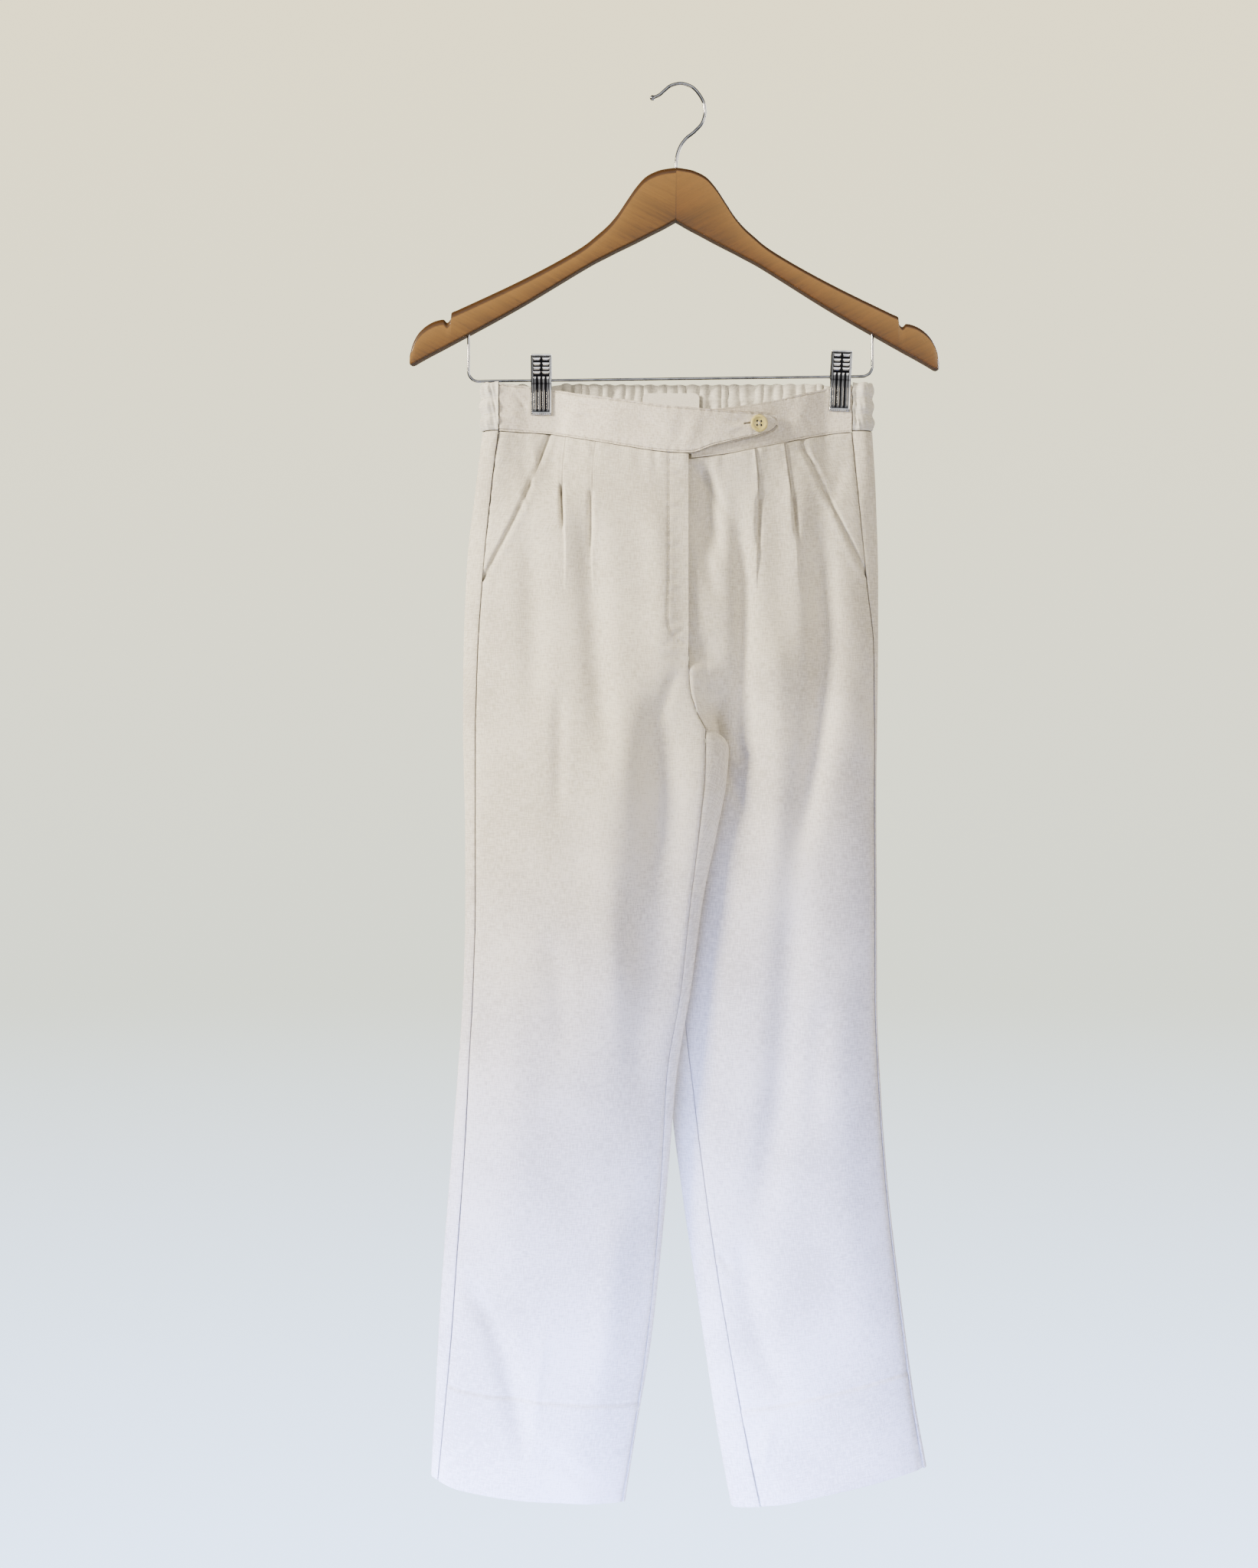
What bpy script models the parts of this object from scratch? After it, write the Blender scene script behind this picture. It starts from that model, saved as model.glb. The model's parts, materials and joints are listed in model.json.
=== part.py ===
"""White pleated trousers with a part-elastic waist, hanging from two steel clips on a wooden hanger.

Metres, +Z up, and the garment's front faces -Y. The origin is the bearing point of the hook, on the inside of its top.
Right and left are the wearer's, so the right leg lies at -X.
"""

import math

import bmesh
import bpy
import numpy as np
from mathutils import Matrix, Vector

# ---------------------------------------------------------------- driving dimensions

SEAM_GAP = 0.0003  # between two pieces sewn together
BAND_SEAM_GAP = 0.0004  # between a waistband and the panels below it
CLOTH = 0.0014  # wall of a panel, two layers at its seams
BAND = 0.0020  # wall of a waistband
FOLD_RADIUS = 0.0035  # how round the cloth turns at the side folds

WAIST_Z = -0.2915  # where the panels start at the sides
CROTCH_Z = -0.5425  # where the fly seam, both inseams and the back seam meet
FORK_Z = -0.5565  # lowest point of the crotch seam
HEM_Z = -1.1800

BAND_TOP_Z = -0.2505  # elastic band, all round the back
BAND_BOTTOM_Z = -0.2908
GATHERS = 42
GATHER_DEPTH = 0.0013
CLIP_DIP = 0.0028  # how far a clip holds the elastic's edge down

CLIP_RIGHT_X, CLIP_LEFT_X = -0.1168, 0.1339
CLIP_WIDTH = 0.0175
CLIP_SHEET = 0.0009

HANGER_CENTRE = Vector((-0.0042, 0.0, -0.1148))  # where the two arms meet on the underside
HANGER_TILT = math.radians(0.54)  # its left end hangs lower
HANGER_THICKNESS = 0.0140
HANGER_EDGE = 0.0035  # rounding of its long edges

HOOK_WIRE = 0.0014  # wire radii
BAR_WIRE = 0.0012
DRILL_CLEARANCE = 0.0003

BUTTON_X, BUTTON_Z = 0.0641, -0.2882
BUTTON_RADIUS, BUTTON_HEIGHT = 0.00725, 0.0028
BUTTON_DISH = 0.0052  # radius of the sunk middle
BUTTON_HOLE, BUTTON_HOLE_REACH = 0.0006, 0.0013  # a hole's radius, and how far off the middle it lies each way
BAND_RIGHT_X, BAND_LEFT_X = -0.1523, 0.1437  # where the front bands meet the elastic one
LEFT_BAND_COLUMNS = 14
WAIST_END_POINTS = 12  # points of the elastic band's plan in front of each side fold
LABEL_SIZE, LABEL_THICKNESS, LABEL_CORNER = (0.0478, 0.0250), 0.0008, 0.0045
LABEL_X, LABEL_NEAR_X, LABEL_TOP_Z = -0.0082, -0.008, -0.2580
BAR_RIGHT = (-0.1782, -0.2490, -0.2010)  # x, height of the bar there, and where the wire ends in the wood
BAR_LEFT = (0.1610, -0.2447, -0.1995)
BAR_CORNER, BAR_SLOPE = 0.0085, 0.0125

# ---------------------------------------------------------------- colours: linear RGB, roughness, metallic

COLOURS = {
    "white_suiting": ((0.76, 0.75, 0.73), 0.88, 0.0),
    "waistband_cloth": ((0.70, 0.67, 0.63), 0.86, 0.0),
    "label_cloth": ((0.80, 0.79, 0.76), 0.80, 0.0),
    "button_horn": ((0.66, 0.60, 0.36), 0.35, 0.0),
    "varnished_wood": ((0.32, 0.15, 0.05), 0.35, 0.0),
    "steel_wire": ((0.60, 0.60, 0.62), 0.25, 1.0),
    "clip_chrome": ((0.70, 0.70, 0.72), 0.20, 1.0),
}


# ---------------------------------------------------------------- tables, one row for each section or fold


def table(columns, *rows):
    """Named columns. The first one orders the rows."""
    rows = sorted(rows)
    return {name: np.array(values) for name, values in zip(columns.split(), zip(*rows))}


RIGHT_LEG = table(
    "z outer inner side inseam outer_y inner_y depth",
    (-0.290, -0.1662, 0.0405, -0.1523, 0.0061, 0.0020, -0.0140, 0.024),
    (-0.341, -0.1726, 0.0405, -0.1590, 0.0061, 0.0030, -0.0140, 0.024),
    (-0.400, -0.1794, 0.0405, -0.1650, 0.0061, 0.0030, -0.0140, 0.024),
    (-0.479, -0.1826, 0.0405, -0.1705, 0.0061, 0.0030, -0.0140, 0.024),
    (-0.510, -0.1829, 0.0405, -0.1715, 0.0071, 0.0030, -0.0140, 0.024),
    (-0.5425, -0.1830, 0.0405, -0.1724, 0.0203, 0.0030, -0.0140, 0.024),
    (-0.5725, -0.1825, 0.0390, -0.1724, 0.0201, 0.0030, -0.0140, 0.024),
    (-0.617, -0.1813, 0.0311, -0.1724, 0.0162, 0.0025, -0.0140, 0.023),
    (-0.690, -0.1810, 0.0174, -0.1724, 0.0074, 0.0020, -0.0140, 0.022),
    (-0.757, -0.1826, 0.0084, -0.1743, 0.0002, 0.0010, -0.0130, 0.022),
    (-0.830, -0.1872, -0.0035, -0.1780, -0.0118, 0.0000, -0.0110, 0.021),
    (-0.900, -0.1925, -0.0095, -0.1816, -0.0156, 0.0000, -0.0080, 0.020),
    (-0.975, -0.1984, -0.0164, -0.1870, -0.0205, 0.0000, -0.0060, 0.019),
    (-1.050, -0.2031, -0.0250, -0.1921, -0.0282, 0.0000, -0.0040, 0.018),
    (-1.120, -0.2065, -0.0372, -0.1981, -0.0385, 0.0000, -0.0030, 0.017),
    (-1.195, -0.2105, -0.0490, -0.2052, -0.0514, 0.0000, -0.0020, 0.016),
)

LEFT_LEG = table(
    "z outer inner side inseam outer_y inner_y depth",
    (-0.290, 0.1610, 0.0215, 0.1433, 0.0230, 0.0020, 0.0130, 0.022),
    (-0.347, 0.1643, 0.0215, 0.1489, 0.0230, 0.0030, 0.0130, 0.022),
    (-0.420, 0.1662, 0.0215, 0.1563, 0.0230, 0.0030, 0.0130, 0.022),
    (-0.473, 0.1661, 0.0215, 0.1622, 0.0230, 0.0030, 0.0130, 0.022),
    (-0.5565, 0.1651, 0.0215, 0.1632, 0.0232, 0.0030, 0.0130, 0.022),
    (-0.575, 0.1648, 0.0160, 0.1632, 0.0215, 0.0030, 0.0140, 0.021),
    (-0.617, 0.1647, 0.0060, 0.1632, 0.0150, 0.0030, 0.0150, 0.020),
    (-0.690, 0.1651, -0.0030, 0.1634, 0.0070, 0.0030, 0.0150, 0.020),
    (-0.770, 0.1653, -0.0080, 0.1636, 0.0036, 0.0030, 0.0140, 0.020),
    (-0.850, 0.1686, -0.0075, 0.1670, 0.0112, 0.0020, 0.0120, 0.020),
    (-0.925, 0.1743, 0.0006, 0.1726, 0.0204, 0.0020, 0.0080, 0.019),
    (-1.000, 0.1822, 0.0121, 0.1804, 0.0317, 0.0010, 0.0060, 0.018),
    (-1.064, 0.1895, 0.0222, 0.1876, 0.0434, 0.0000, 0.0040, 0.017),
    (-1.120, 0.1965, 0.0312, 0.1945, 0.0538, 0.0000, 0.0030, 0.017),
    (-1.200, 0.2100, 0.0464, 0.2075, 0.0705, 0.0000, 0.0020, 0.016),
)

BODY = table(
    "z front back",
    (-0.290, 0.026, 0.008),
    (-0.360, 0.029, 0.018),
    (-0.450, 0.031, 0.024),
    (-0.560, 0.029, 0.026),
)

# The waist seen from above: bowed forward between the clips, nipped flat in each.
WAIST_PLAN = table(
    "x front back",
    (-0.1675, 0.0020, 0.0020),
    (-0.1640, -0.0040, 0.0080),
    (-0.1540, -0.0080, 0.0110),
    (-0.1380, -0.0060, 0.0068),
    (-0.1265, -0.0046, 0.0046),
    (-0.1070, -0.0046, 0.0046),
    (-0.0930, -0.0100, 0.0060),
    (-0.0550, -0.0235, 0.0085),
    (0.0050, -0.0320, 0.0100),
    (0.0650, -0.0255, 0.0085),
    (0.1090, -0.0105, 0.0060),
    (0.1240, -0.0046, 0.0046),
    (0.1436, -0.0046, 0.0046),
    (0.1530, -0.0055, 0.0075),
    (0.1585, -0.0030, 0.0065),
    (0.1616, 0.0020, 0.0020),
)

# Heights of the front bands, which sag between the clips.
RIGHT_BAND_EDGES = table(
    "x top bottom",
    (-0.1523, -0.2520, -0.2915),
    (-0.1114, -0.2563, -0.2937),
    (-0.0865, -0.2617, -0.2985),
    (-0.0480, -0.2684, -0.3063),
    (-0.0120, -0.2743, -0.3121),
    (0.0061, -0.2758, -0.3131),
    (0.0261, -0.2778, -0.3067),
    (0.0500, -0.2794, -0.3004),
    (0.0700, -0.2801, -0.2953),
    (0.0765, -0.2822, -0.2920),
    (0.0788, -0.2855, -0.2885),
)
LEFT_BAND_EDGES = table(
    "x top bottom",
    (0.0080, -0.2785, -0.3170),
    (0.0370, -0.2748, -0.3131),
    (0.0620, -0.2711, -0.3078),
    (0.0880, -0.2654, -0.3020),
    (0.1117, -0.2593, -0.2968),
    (0.1238, -0.2557, -0.2941),
    (0.1437, -0.2522, -0.2919),
)

RIGHT_HEM = table(
    "x z",
    (-0.2100, -1.1680),
    (-0.1840, -1.1768),
    (-0.1300, -1.1830),
    (-0.0740, -1.1873),
    (-0.0490, -1.1885),
)
LEFT_HEM = table(
    "x z",
    (0.0460, -1.1940),
    (0.0692, -1.1908),
    (0.1284, -1.1776),
    (0.1700, -1.1680),
    (0.2090, -1.1600),
)

# The fly edge, then the crotch seam, then the right leg's inseam, as seen on the right front.
RIGHT_FRONT_EDGE = table(
    "z x",
    (-0.290, 0.0061),
    (-0.483, 0.0061),
    (-0.4956, 0.0064),
    (-0.5102, 0.0075),
    (-0.5198, 0.0103),
    (-0.5300, 0.0140),
    (-0.5363, 0.0175),
    (-0.5425, 0.0203),
    (-0.5725, 0.0201),
    (-0.617, 0.0162),
    (-0.690, 0.0074),
    (-0.757, 0.0002),
    (-0.830, -0.0118),
    (-0.900, -0.0156),
    (-0.975, -0.0205),
    (-1.050, -0.0282),
    (-1.120, -0.0385),
    (-1.195, -0.0514),
)

# The seam that the two backs share: down the seat, then forward under the fork. The right back's edge
# climbs from there to the fly; the left leg hangs behind it, and its own edges turn down at LEFT_FORK.
SEAT_SEAM = table(
    "level x y z",
    (-0.290, -0.0020, 0.0098, -0.2908),
    (-0.350, -0.0010, 0.0200, -0.3500),
    (-0.440, 0.0040, 0.0268, -0.4400),
    (-0.475, 0.0070, 0.0270, -0.4760),
    (-0.505, 0.0110, 0.0235, -0.5080),
    (-0.532, 0.0160, 0.0130, -0.5370),
    (-0.5565, 0.0225, -0.0020, -0.5565),
    (-0.564, 0.0218, -0.0120, -0.5500),
    (-0.572, 0.0203, -0.0210, -0.5425),
)
LEFT_FORK = (0.0240, 0.0060)

# Slanted pocket mouths: the cut edge of each front.
RIGHT_POCKET = table("z x", (-0.290, -0.1085), (-0.347, -0.1299), (-0.4186, -0.1662))
LEFT_POCKET = table("z x", (-0.296, 0.0995), (-0.338, 0.1179), (-0.4145, 0.1556))

# Pleat lines, stitched down for about 33 mm below the band. Lower down they run on as columns of the cloth.
RIGHT_PLEATS = table(
    "z outer inner",
    (-0.2915, -0.0957, -0.0698),
    (-0.331, -0.0990, -0.0737),
    (-0.396, -0.0965, -0.0742),
    (-0.480, -0.0985, -0.0690),
    (-0.600, -0.1000, -0.0570),
    (-0.830, -0.1060, -0.0560),
    (-1.040, -0.1130, -0.0680),
    (-1.190, -0.1300, -0.0900),
)
LEFT_PLEATS = table(
    "z outer inner",
    (-0.2915, 0.0845, 0.0598),
    (-0.343, 0.0912, 0.0640),
    (-0.389, 0.0962, 0.0632),
    (-0.480, 0.1010, 0.0625),
    (-0.600, 0.1030, 0.0600),
    (-0.830, 0.1050, 0.0600),
    (-1.040, 0.1150, 0.0750),
    (-1.190, 0.1320, 0.0980),
)
PLEAT_HEIGHTS = table("z height", (-0.290, 0.0020), (-0.335, 0.0022), (-0.352, 0.0036), (-0.43, 0.0))
PLEAT_STEP = 0.0012  # how far across the cloth takes to drop over a pleat's edge

# Long soft folds of the fronts: a line through three heights, its half width, and how deep it runs.
FOLDS = "z0 x0 z1 x1 z2 x2 width depth"
RIGHT_FRONT_FOLDS = table(
    FOLDS,
    (-0.330, -0.0790, -0.480, -0.0700, -0.620, -0.0560, 0.010, 0.0065),
    (-0.560, -0.0600, -0.700, -0.0430, -0.900, -0.0330, 0.018, 0.0060),
    (-0.350, -0.1290, -0.430, -0.1240, -0.560, -0.1220, 0.011, 0.0030),
    (-0.340, -0.0250, -0.420, -0.0170, -0.520, -0.0150, 0.012, -0.0030),
    (-0.500, -0.0230, -0.590, -0.0200, -0.700, -0.0270, 0.012, 0.0035),
    (-0.700, -0.1400, -0.850, -0.1380, -1.050, -0.1450, 0.022, -0.0030),
    (-0.985, -0.1840, -1.060, -0.1480, -1.170, -0.1240, 0.011, 0.0050),
    (-0.920, -0.0500, -1.030, -0.0600, -1.150, -0.0780, 0.016, -0.0030),
)
LEFT_FRONT_FOLDS = table(
    FOLDS,
    (-0.315, 0.0160, -0.345, 0.0200, -0.410, 0.0300, 0.009, 0.0060),
    (-0.330, 0.0430, -0.430, 0.0520, -0.640, 0.0500, 0.009, 0.0055),
    (-0.325, 0.1120, -0.480, 0.1180, -0.700, 0.0900, 0.012, 0.0080),
    (-0.640, 0.0960, -0.820, 0.0860, -1.000, 0.0560, 0.015, 0.0060),
    (-0.420, 0.0780, -0.560, 0.0800, -0.720, 0.0720, 0.012, -0.0030),
    (-0.700, 0.1350, -0.900, 0.1320, -1.100, 0.1550, 0.024, -0.0030),
    (-0.960, 0.0480, -1.030, 0.0620, -1.120, 0.0900, 0.012, 0.0040),
)
RIGHT_BACK_FOLDS = table(
    FOLDS,
    (-0.330, -0.1050, -0.520, -0.0980, -0.780, -0.1050, 0.016, -0.0060),
    (-0.380, -0.0400, -0.560, -0.0460, -0.820, -0.0500, 0.014, -0.0050),
    (-0.760, -0.1500, -0.940, -0.1400, -1.120, -0.1550, 0.020, -0.0045),
)
LEFT_BACK_FOLDS = table(
    FOLDS,
    (-0.330, 0.0980, -0.520, 0.1060, -0.800, 0.0960, 0.016, -0.0060),
    (-0.370, 0.0460, -0.600, 0.0560, -0.850, 0.0580, 0.014, -0.0050),
    (-0.780, 0.1350, -0.950, 0.1400, -1.120, 0.1500, 0.020, -0.0045),
)

# One arm of the hanger: distance from its centre, and the heights of its edges over the underside's peak.
HANGER_ARM = table(
    "reach top bottom",
    (0.0002, 0.0447, 0.0000),
    (0.0115, 0.0430, -0.0065),
    (0.0180, 0.0408, -0.0098),
    (0.0250, 0.0370, -0.0135),
    (0.0330, 0.0285, -0.0177),
    (0.0412, 0.0165, -0.0218),
    (0.0493, 0.0043, -0.0258),
    (0.0573, -0.0050, -0.0300),
    (0.0660, -0.0128, -0.0345),
    (0.0750, -0.0203, -0.0397),
    (0.0900, -0.0299, -0.0489),
    (0.1290, -0.0511, -0.0728),
    (0.1830, -0.0770, -0.1030),
    (0.1872, -0.0790, -0.1053),
    (0.1880, -0.0842, -0.1057),
    (0.1908, -0.0872, -0.1073),
    (0.1940, -0.0846, -0.1090),
    (0.2000, -0.0858, -0.1122),
    (0.2070, -0.0893, -0.1160),
    (0.2140, -0.0955, -0.1200),
    (0.2190, -0.1040, -0.1228),
    (0.2220, -0.1130, -0.1236),
)

# The hook's wire from its ball end over the top and down into the wood.
HOOK = table(
    "step x z",
    (0, -0.0238, -0.0109),
    (1, -0.0180, -0.0084),
    (2, -0.0140, -0.0050),
    (3, -0.0078, -0.0003),
    (4, 0.0000, 0.0014),
    (5, 0.0085, -0.0010),
    (6, 0.0155, -0.0078),
    (7, 0.0196, -0.0160),
    (8, 0.0204, -0.0230),
    (9, 0.0185, -0.0310),
    (10, 0.0120, -0.0388),
    (11, 0.0045, -0.0450),
    (12, -0.0005, -0.0520),
    (13, -0.0033, -0.0610),
    (14, -0.0040, -0.0700),
    (15, -0.0040, -0.0820),
    (16, -0.0040, -0.0940),
)

# The clip's front sheet from the finger end to the lip, as distance in front of and height over the bar.
CLIP_PROFILE = table(
    "step out up flange",
    (0, 0.0112, 0.0203, 0.0016),
    (1, 0.0104, 0.0150, 0.0024),
    (2, 0.0090, 0.0060, 0.0085),
    (3, 0.0083, 0.0000, 0.0110),
    (4, 0.0078, -0.0032, 0.0060),
    (5, 0.0074, -0.0048, 0.0013),
    (6, 0.0068, -0.0120, 0.0012),
    (7, 0.0068, -0.0302, 0.0012),
)
CLIP_ROWS = 7


# ---------------------------------------------------------------- curves and blends


def follow(source, column, at):
    """A column read as a smooth curve over the table's first column, level beyond both ends."""
    knots = next(iter(source.values()))
    values = source[column]
    gaps = np.diff(knots)
    slopes = np.diff(values) / gaps
    before, after = slopes[:-1], slopes[1:]
    same_way = before * after > 0
    tangents = np.concatenate([slopes[:1], np.zeros(len(before)), slopes[-1:]])
    tangents[1:-1][same_way] = 2 * before[same_way] * after[same_way] / (before + after)[same_way]
    at = np.clip(np.asarray(at, float), knots[0], knots[-1])
    i = np.clip(np.searchsorted(knots, at, side="right") - 1, 0, len(gaps) - 1)
    t = (at - knots[i]) / gaps[i]
    start = values[i] * (1 + 2 * t) * (1 - t) ** 2 + tangents[i] * gaps[i] * t * (1 - t) ** 2
    end = values[i + 1] * (3 - 2 * t) * t**2 - tangents[i + 1] * gaps[i] * (1 - t) * t**2
    return start + end


def ease(start, end, at):
    """0 before start, 1 past end, and an even turn between them. start may lie above end."""
    t = np.clip((at - start) / (end - start), 0, 1)
    return t * t * (3 - 2 * t)


def mix(a, b, share):
    return a + (b - a) * share


def spread(u, *stops):
    """u from 0 to 1 laid over stops, each (share of u, place)."""
    place = stops[0][1]
    for (begin, _), (finish, far) in zip(stops, stops[1:]):
        place = mix(place, far, np.clip((u - begin) / (finish - begin), 0, 1))
    return place


# ---------------------------------------------------------------- the form of the trousers

RIGHT = {
    "leg": RIGHT_LEG,
    "pleats": RIGHT_PLEATS,
    "pocket": RIGHT_POCKET,
    "front_folds": RIGHT_FRONT_FOLDS,
    "back_folds": RIGHT_BACK_FOLDS,
    "band": RIGHT_BAND_EDGES,
    "hem": RIGHT_HEM,
    "inward": 1,  # the way along X from the side towards the centre
    "pocket_gape": 0.0,
}
LEFT = {
    "leg": LEFT_LEG,
    "pleats": LEFT_PLEATS,
    "pocket": LEFT_POCKET,
    "front_folds": LEFT_FRONT_FOLDS,
    "back_folds": LEFT_BACK_FOLDS,
    "band": LEFT_BAND_EDGES,
    "hem": LEFT_HEM,
    "inward": -1,
    "pocket_gape": 0.0025,
}

LEG_LEVELS = [-0.575, -0.617, -0.660, -0.705, -0.757, -0.830, -0.905, -0.980, -1.050, -1.115, HEM_Z]
SEAT_LEVELS = [WAIST_Z, -0.305, -0.325, -0.350, -0.395, -0.440, -0.475, -0.505, -0.532, FORK_Z]
POCKET_LEVELS = [WAIST_Z, -0.305, -0.320, -0.335, -0.350, -0.370, -0.395]
FLY_LEVELS = [-0.440, -0.475, -0.4956, -0.5102, -0.5198, -0.5300, CROTCH_Z]
RIGHT["front_levels"] = POCKET_LEVELS + [RIGHT_POCKET["z"][0]] + FLY_LEVELS + LEG_LEVELS
LEFT["front_levels"] = POCKET_LEVELS + [LEFT_POCKET["z"][0]] + FLY_LEVELS + [-0.5495, FORK_Z] + LEG_LEVELS
RIGHT["back_levels"] = SEAT_LEVELS + [-0.564, -0.572, -0.600, -0.635, -0.665] + LEG_LEVELS[3:]
LEFT["back_levels"] = SEAT_LEVELS + LEG_LEVELS

FRONT_COLUMNS = 20
PLEAT_STOPS = [column / FRONT_COLUMNS for column in (5, 6, 9, 10)]
BACK_COLUMNS = 25
BACK_STOPS = [column / BACK_COLUMNS for column in (3, 19)]  # the side fold, and short of the inner fold
NEAR_TURN = -0.78 * math.pi  # where that last column runs on the legs
UNDERLAP = 0.016  # how far the left front runs on behind the fly
LEFT_RECESS = 0.0040  # how far behind the right front the left one lies there


def turn_at(x, outer, inner):
    """Angle round a flattened tube, from its outer fold, of the point of its front at x."""
    return np.arccos(np.clip(1 - 2 * (x - outer) / (inner - outer), -1, 1))


def tube_y(x, outer, inner, middle, depth, back):
    """Front or back face of a flattened tube whose folds lie at outer and inner."""
    across = np.clip((x - outer) / (inner - outer), 0, 1) * 2 - 1
    rise = np.sqrt(np.clip(1 - across**2, 0, 1))
    bulge = depth * rise**1.5 + FOLD_RADIUS * rise
    return middle + bulge if back else middle - bulge


def leg_y(side, x, z, back):
    leg = side["leg"]
    outer, inner = follow(leg, "outer", z), follow(leg, "inner", z)
    share = ease(0, 1, (x - outer) / (inner - outer))
    middle = mix(follow(leg, "outer_y", z), follow(leg, "inner_y", z), share)
    return tube_y(x, outer, inner, middle, follow(leg, "depth", z), back)


def body_y(x, z, back):
    right, left = follow(RIGHT_LEG, "outer", z), follow(LEFT_LEG, "outer", z)
    depth = follow(BODY, "back" if back else "front", z)
    loose = tube_y(x, right, left, 0.003, depth, back)
    waist_right, waist_left = WAIST_PLAN["x"][0], WAIST_PLAN["x"][-1]
    at_waist = waist_right + (x - right) / (left - right) * (waist_left - waist_right)
    nipped = follow(WAIST_PLAN, "back" if back else "front", at_waist)
    return mix(loose, nipped, ease(-0.375, -0.295, z))


def fold_relief(folds, x, z):
    """How far the long folds push the cloth back."""
    total = np.zeros_like(x)
    for z0, x0, z1, x1, z2, x2, width, depth in zip(*folds.values()):
        line = follow(table("z x", (z0, x0), (z1, x1), (z2, x2)), "x", z)
        length = z0 - z2
        along = ease(z0, z0 - 0.25 * length, z) * ease(z2, z2 + 0.4 * length, z)
        total += depth * along * np.exp(-(((x - line) / width) ** 2))
    return total


def pleat_relief(side, x, z):
    """Each pleat's centre side lies over its outer side, and drops to it across PLEAT_STEP."""
    total = np.zeros_like(x)
    for column in ("outer", "inner"):
        past = (x - follow(side["pleats"], column, z)) * side["inward"]
        over = np.clip(past / PLEAT_STEP + 0.5, 0, 1) * np.exp(-np.clip(past, 0, 1) / 0.014)
        total -= follow(PLEAT_HEIGHTS, "height", z) * over
    return total


def front_y(side, x, z):
    """The outer face of a front, with its folds and pleats."""
    if side is RIGHT:
        apart, recess = ease(-0.430, CROTCH_Z, z), 0.0
    else:
        apart = ease(-0.450, -0.565, z)
        recess = LEFT_RECESS * ease(0.100, 0.060, x) * ease(-0.4956, -0.475, z)
    smooth = mix(body_y(x, z, False), leg_y(side, x, z, False), apart)
    return smooth + fold_relief(side["front_folds"], x, z) + pleat_relief(side, x, z) + recess


def right_front_edge(z):
    """The fly edge, the crotch seam and the right inseam."""
    x = follow(RIGHT_FRONT_EDGE, "x", z)
    return x, front_y(RIGHT, x, z)


def left_front_edge(z):
    """Behind the fly, along the crotch seam, then behind the right leg down the left inseam."""
    x, y = right_front_edge(z)
    x = x - UNDERLAP * ease(-0.475, -0.440, z)
    y = mix(y, front_y(LEFT, x, z), ease(-0.4956, -0.470, z)) + 0.0042 * ease(-0.525, CROTCH_Z, z)
    inseam = follow(LEFT_LEG, "inseam", z)
    turning = np.clip((z - CROTCH_Z) / (FORK_Z - CROTCH_Z), 0, 1)
    settled = ease(FORK_Z, -0.600, z)
    x = mix(mix(x, LEFT_FORK[0], turning**0.5), inseam, settled)
    y = mix(mix(y, LEFT_FORK[1], turning**0.5), front_y(LEFT, inseam, z), settled)
    return x, y


def front_panel(side, edge):
    """Shape of a front. u runs from the pocket mouth or side seam, over both pleats, to the centre edge."""
    levels, inward = side["front_levels"], side["inward"]

    def shape(u, v):
        level = np.interp(v * (len(levels) - 1), range(len(levels)), levels)
        seam = follow(side["leg"], "side", level)
        mouth = follow(side["pocket"], "x", level)
        start = np.where(level <= side["pocket"]["z"][0], seam, mouth)
        end, end_y = edge(level)
        outer, inner = follow(side["pleats"], "outer", level), follow(side["pleats"], "inner", level)
        step = inward * PLEAT_STEP / 2
        x = spread(
            u,
            (0.0, start + inward * SEAM_GAP / 2),
            (PLEAT_STOPS[0], outer - step),
            (PLEAT_STOPS[1], outer + step),
            (PLEAT_STOPS[2], inner - step),
            (PLEAT_STOPS[3], inner + step),
            (1.0, end - inward * SEAM_GAP / 2),
        )
        z = ends_to_band_and_hem(level, follow(side["band"], "bottom", x), follow(side["hem"], "z", x))
        reach = 0.005 + 0.007 * ease(CROTCH_Z - 0.007, CROTCH_Z, level) + 0.024 * ease(CROTCH_Z, -0.500, level)
        y = front_y(side, x, z)
        y = y + ease(1, 0, np.abs(x - end) / reach) * (end_y - front_y(side, end, level))
        return x, y, z

    return shape


def ends_to_band_and_hem(level, top, hem):
    """Heights of a row: its level, bent to the band's edge above and to the hem below."""
    to_band = (top - BAND_SEAM_GAP - WAIST_Z) * ease(-0.430, WAIST_Z, level)
    return level + to_band + (hem - HEM_Z) * ease(-0.900, HEM_Z, level)


def pocket_facing(side):
    """Shape of the piece behind a pocket mouth. u runs from the side seam to its hidden edge."""
    top, bottom = WAIST_Z, side["pocket"]["z"][0] + 0.0015
    lift = CLOTH + 0.0006 + side["pocket_gape"]

    def shape(u, v):
        level = mix(top, bottom, v)
        seam = follow(side["leg"], "side", level) + side["inward"] * SEAM_GAP / 2
        mouth = follow(side["pocket"], "x", level)
        x = spread(u, (0.0, seam), (0.6, mouth), (1.0, mouth + side["inward"] * 0.007))
        z = ends_to_band_and_hem(level, follow(side["band"], "bottom", x), HEM_Z)
        y = front_y(side, x, z) + lift * ease(0.0055, 0.0003, (mouth - x) * side["inward"])
        return x, y, z

    return shape


def ring(side, turn, z, legs):
    """A point round one leg, or round the whole body, at a turn from the side fold."""
    outer = follow(side["leg"], "outer", z)
    other = follow((LEFT if side is RIGHT else RIGHT)["leg"], "outer", z)
    inner = follow(side["leg"], "inner", z) if legs else other
    x = mix(outer, inner, (1 - np.cos(turn)) / 2)
    face = (lambda back: leg_y(side, x, z, back)) if legs else (lambda back: body_y(x, z, back))
    return np.array([x, np.where(np.sin(turn) > 0, face(False), face(True))])


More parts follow.
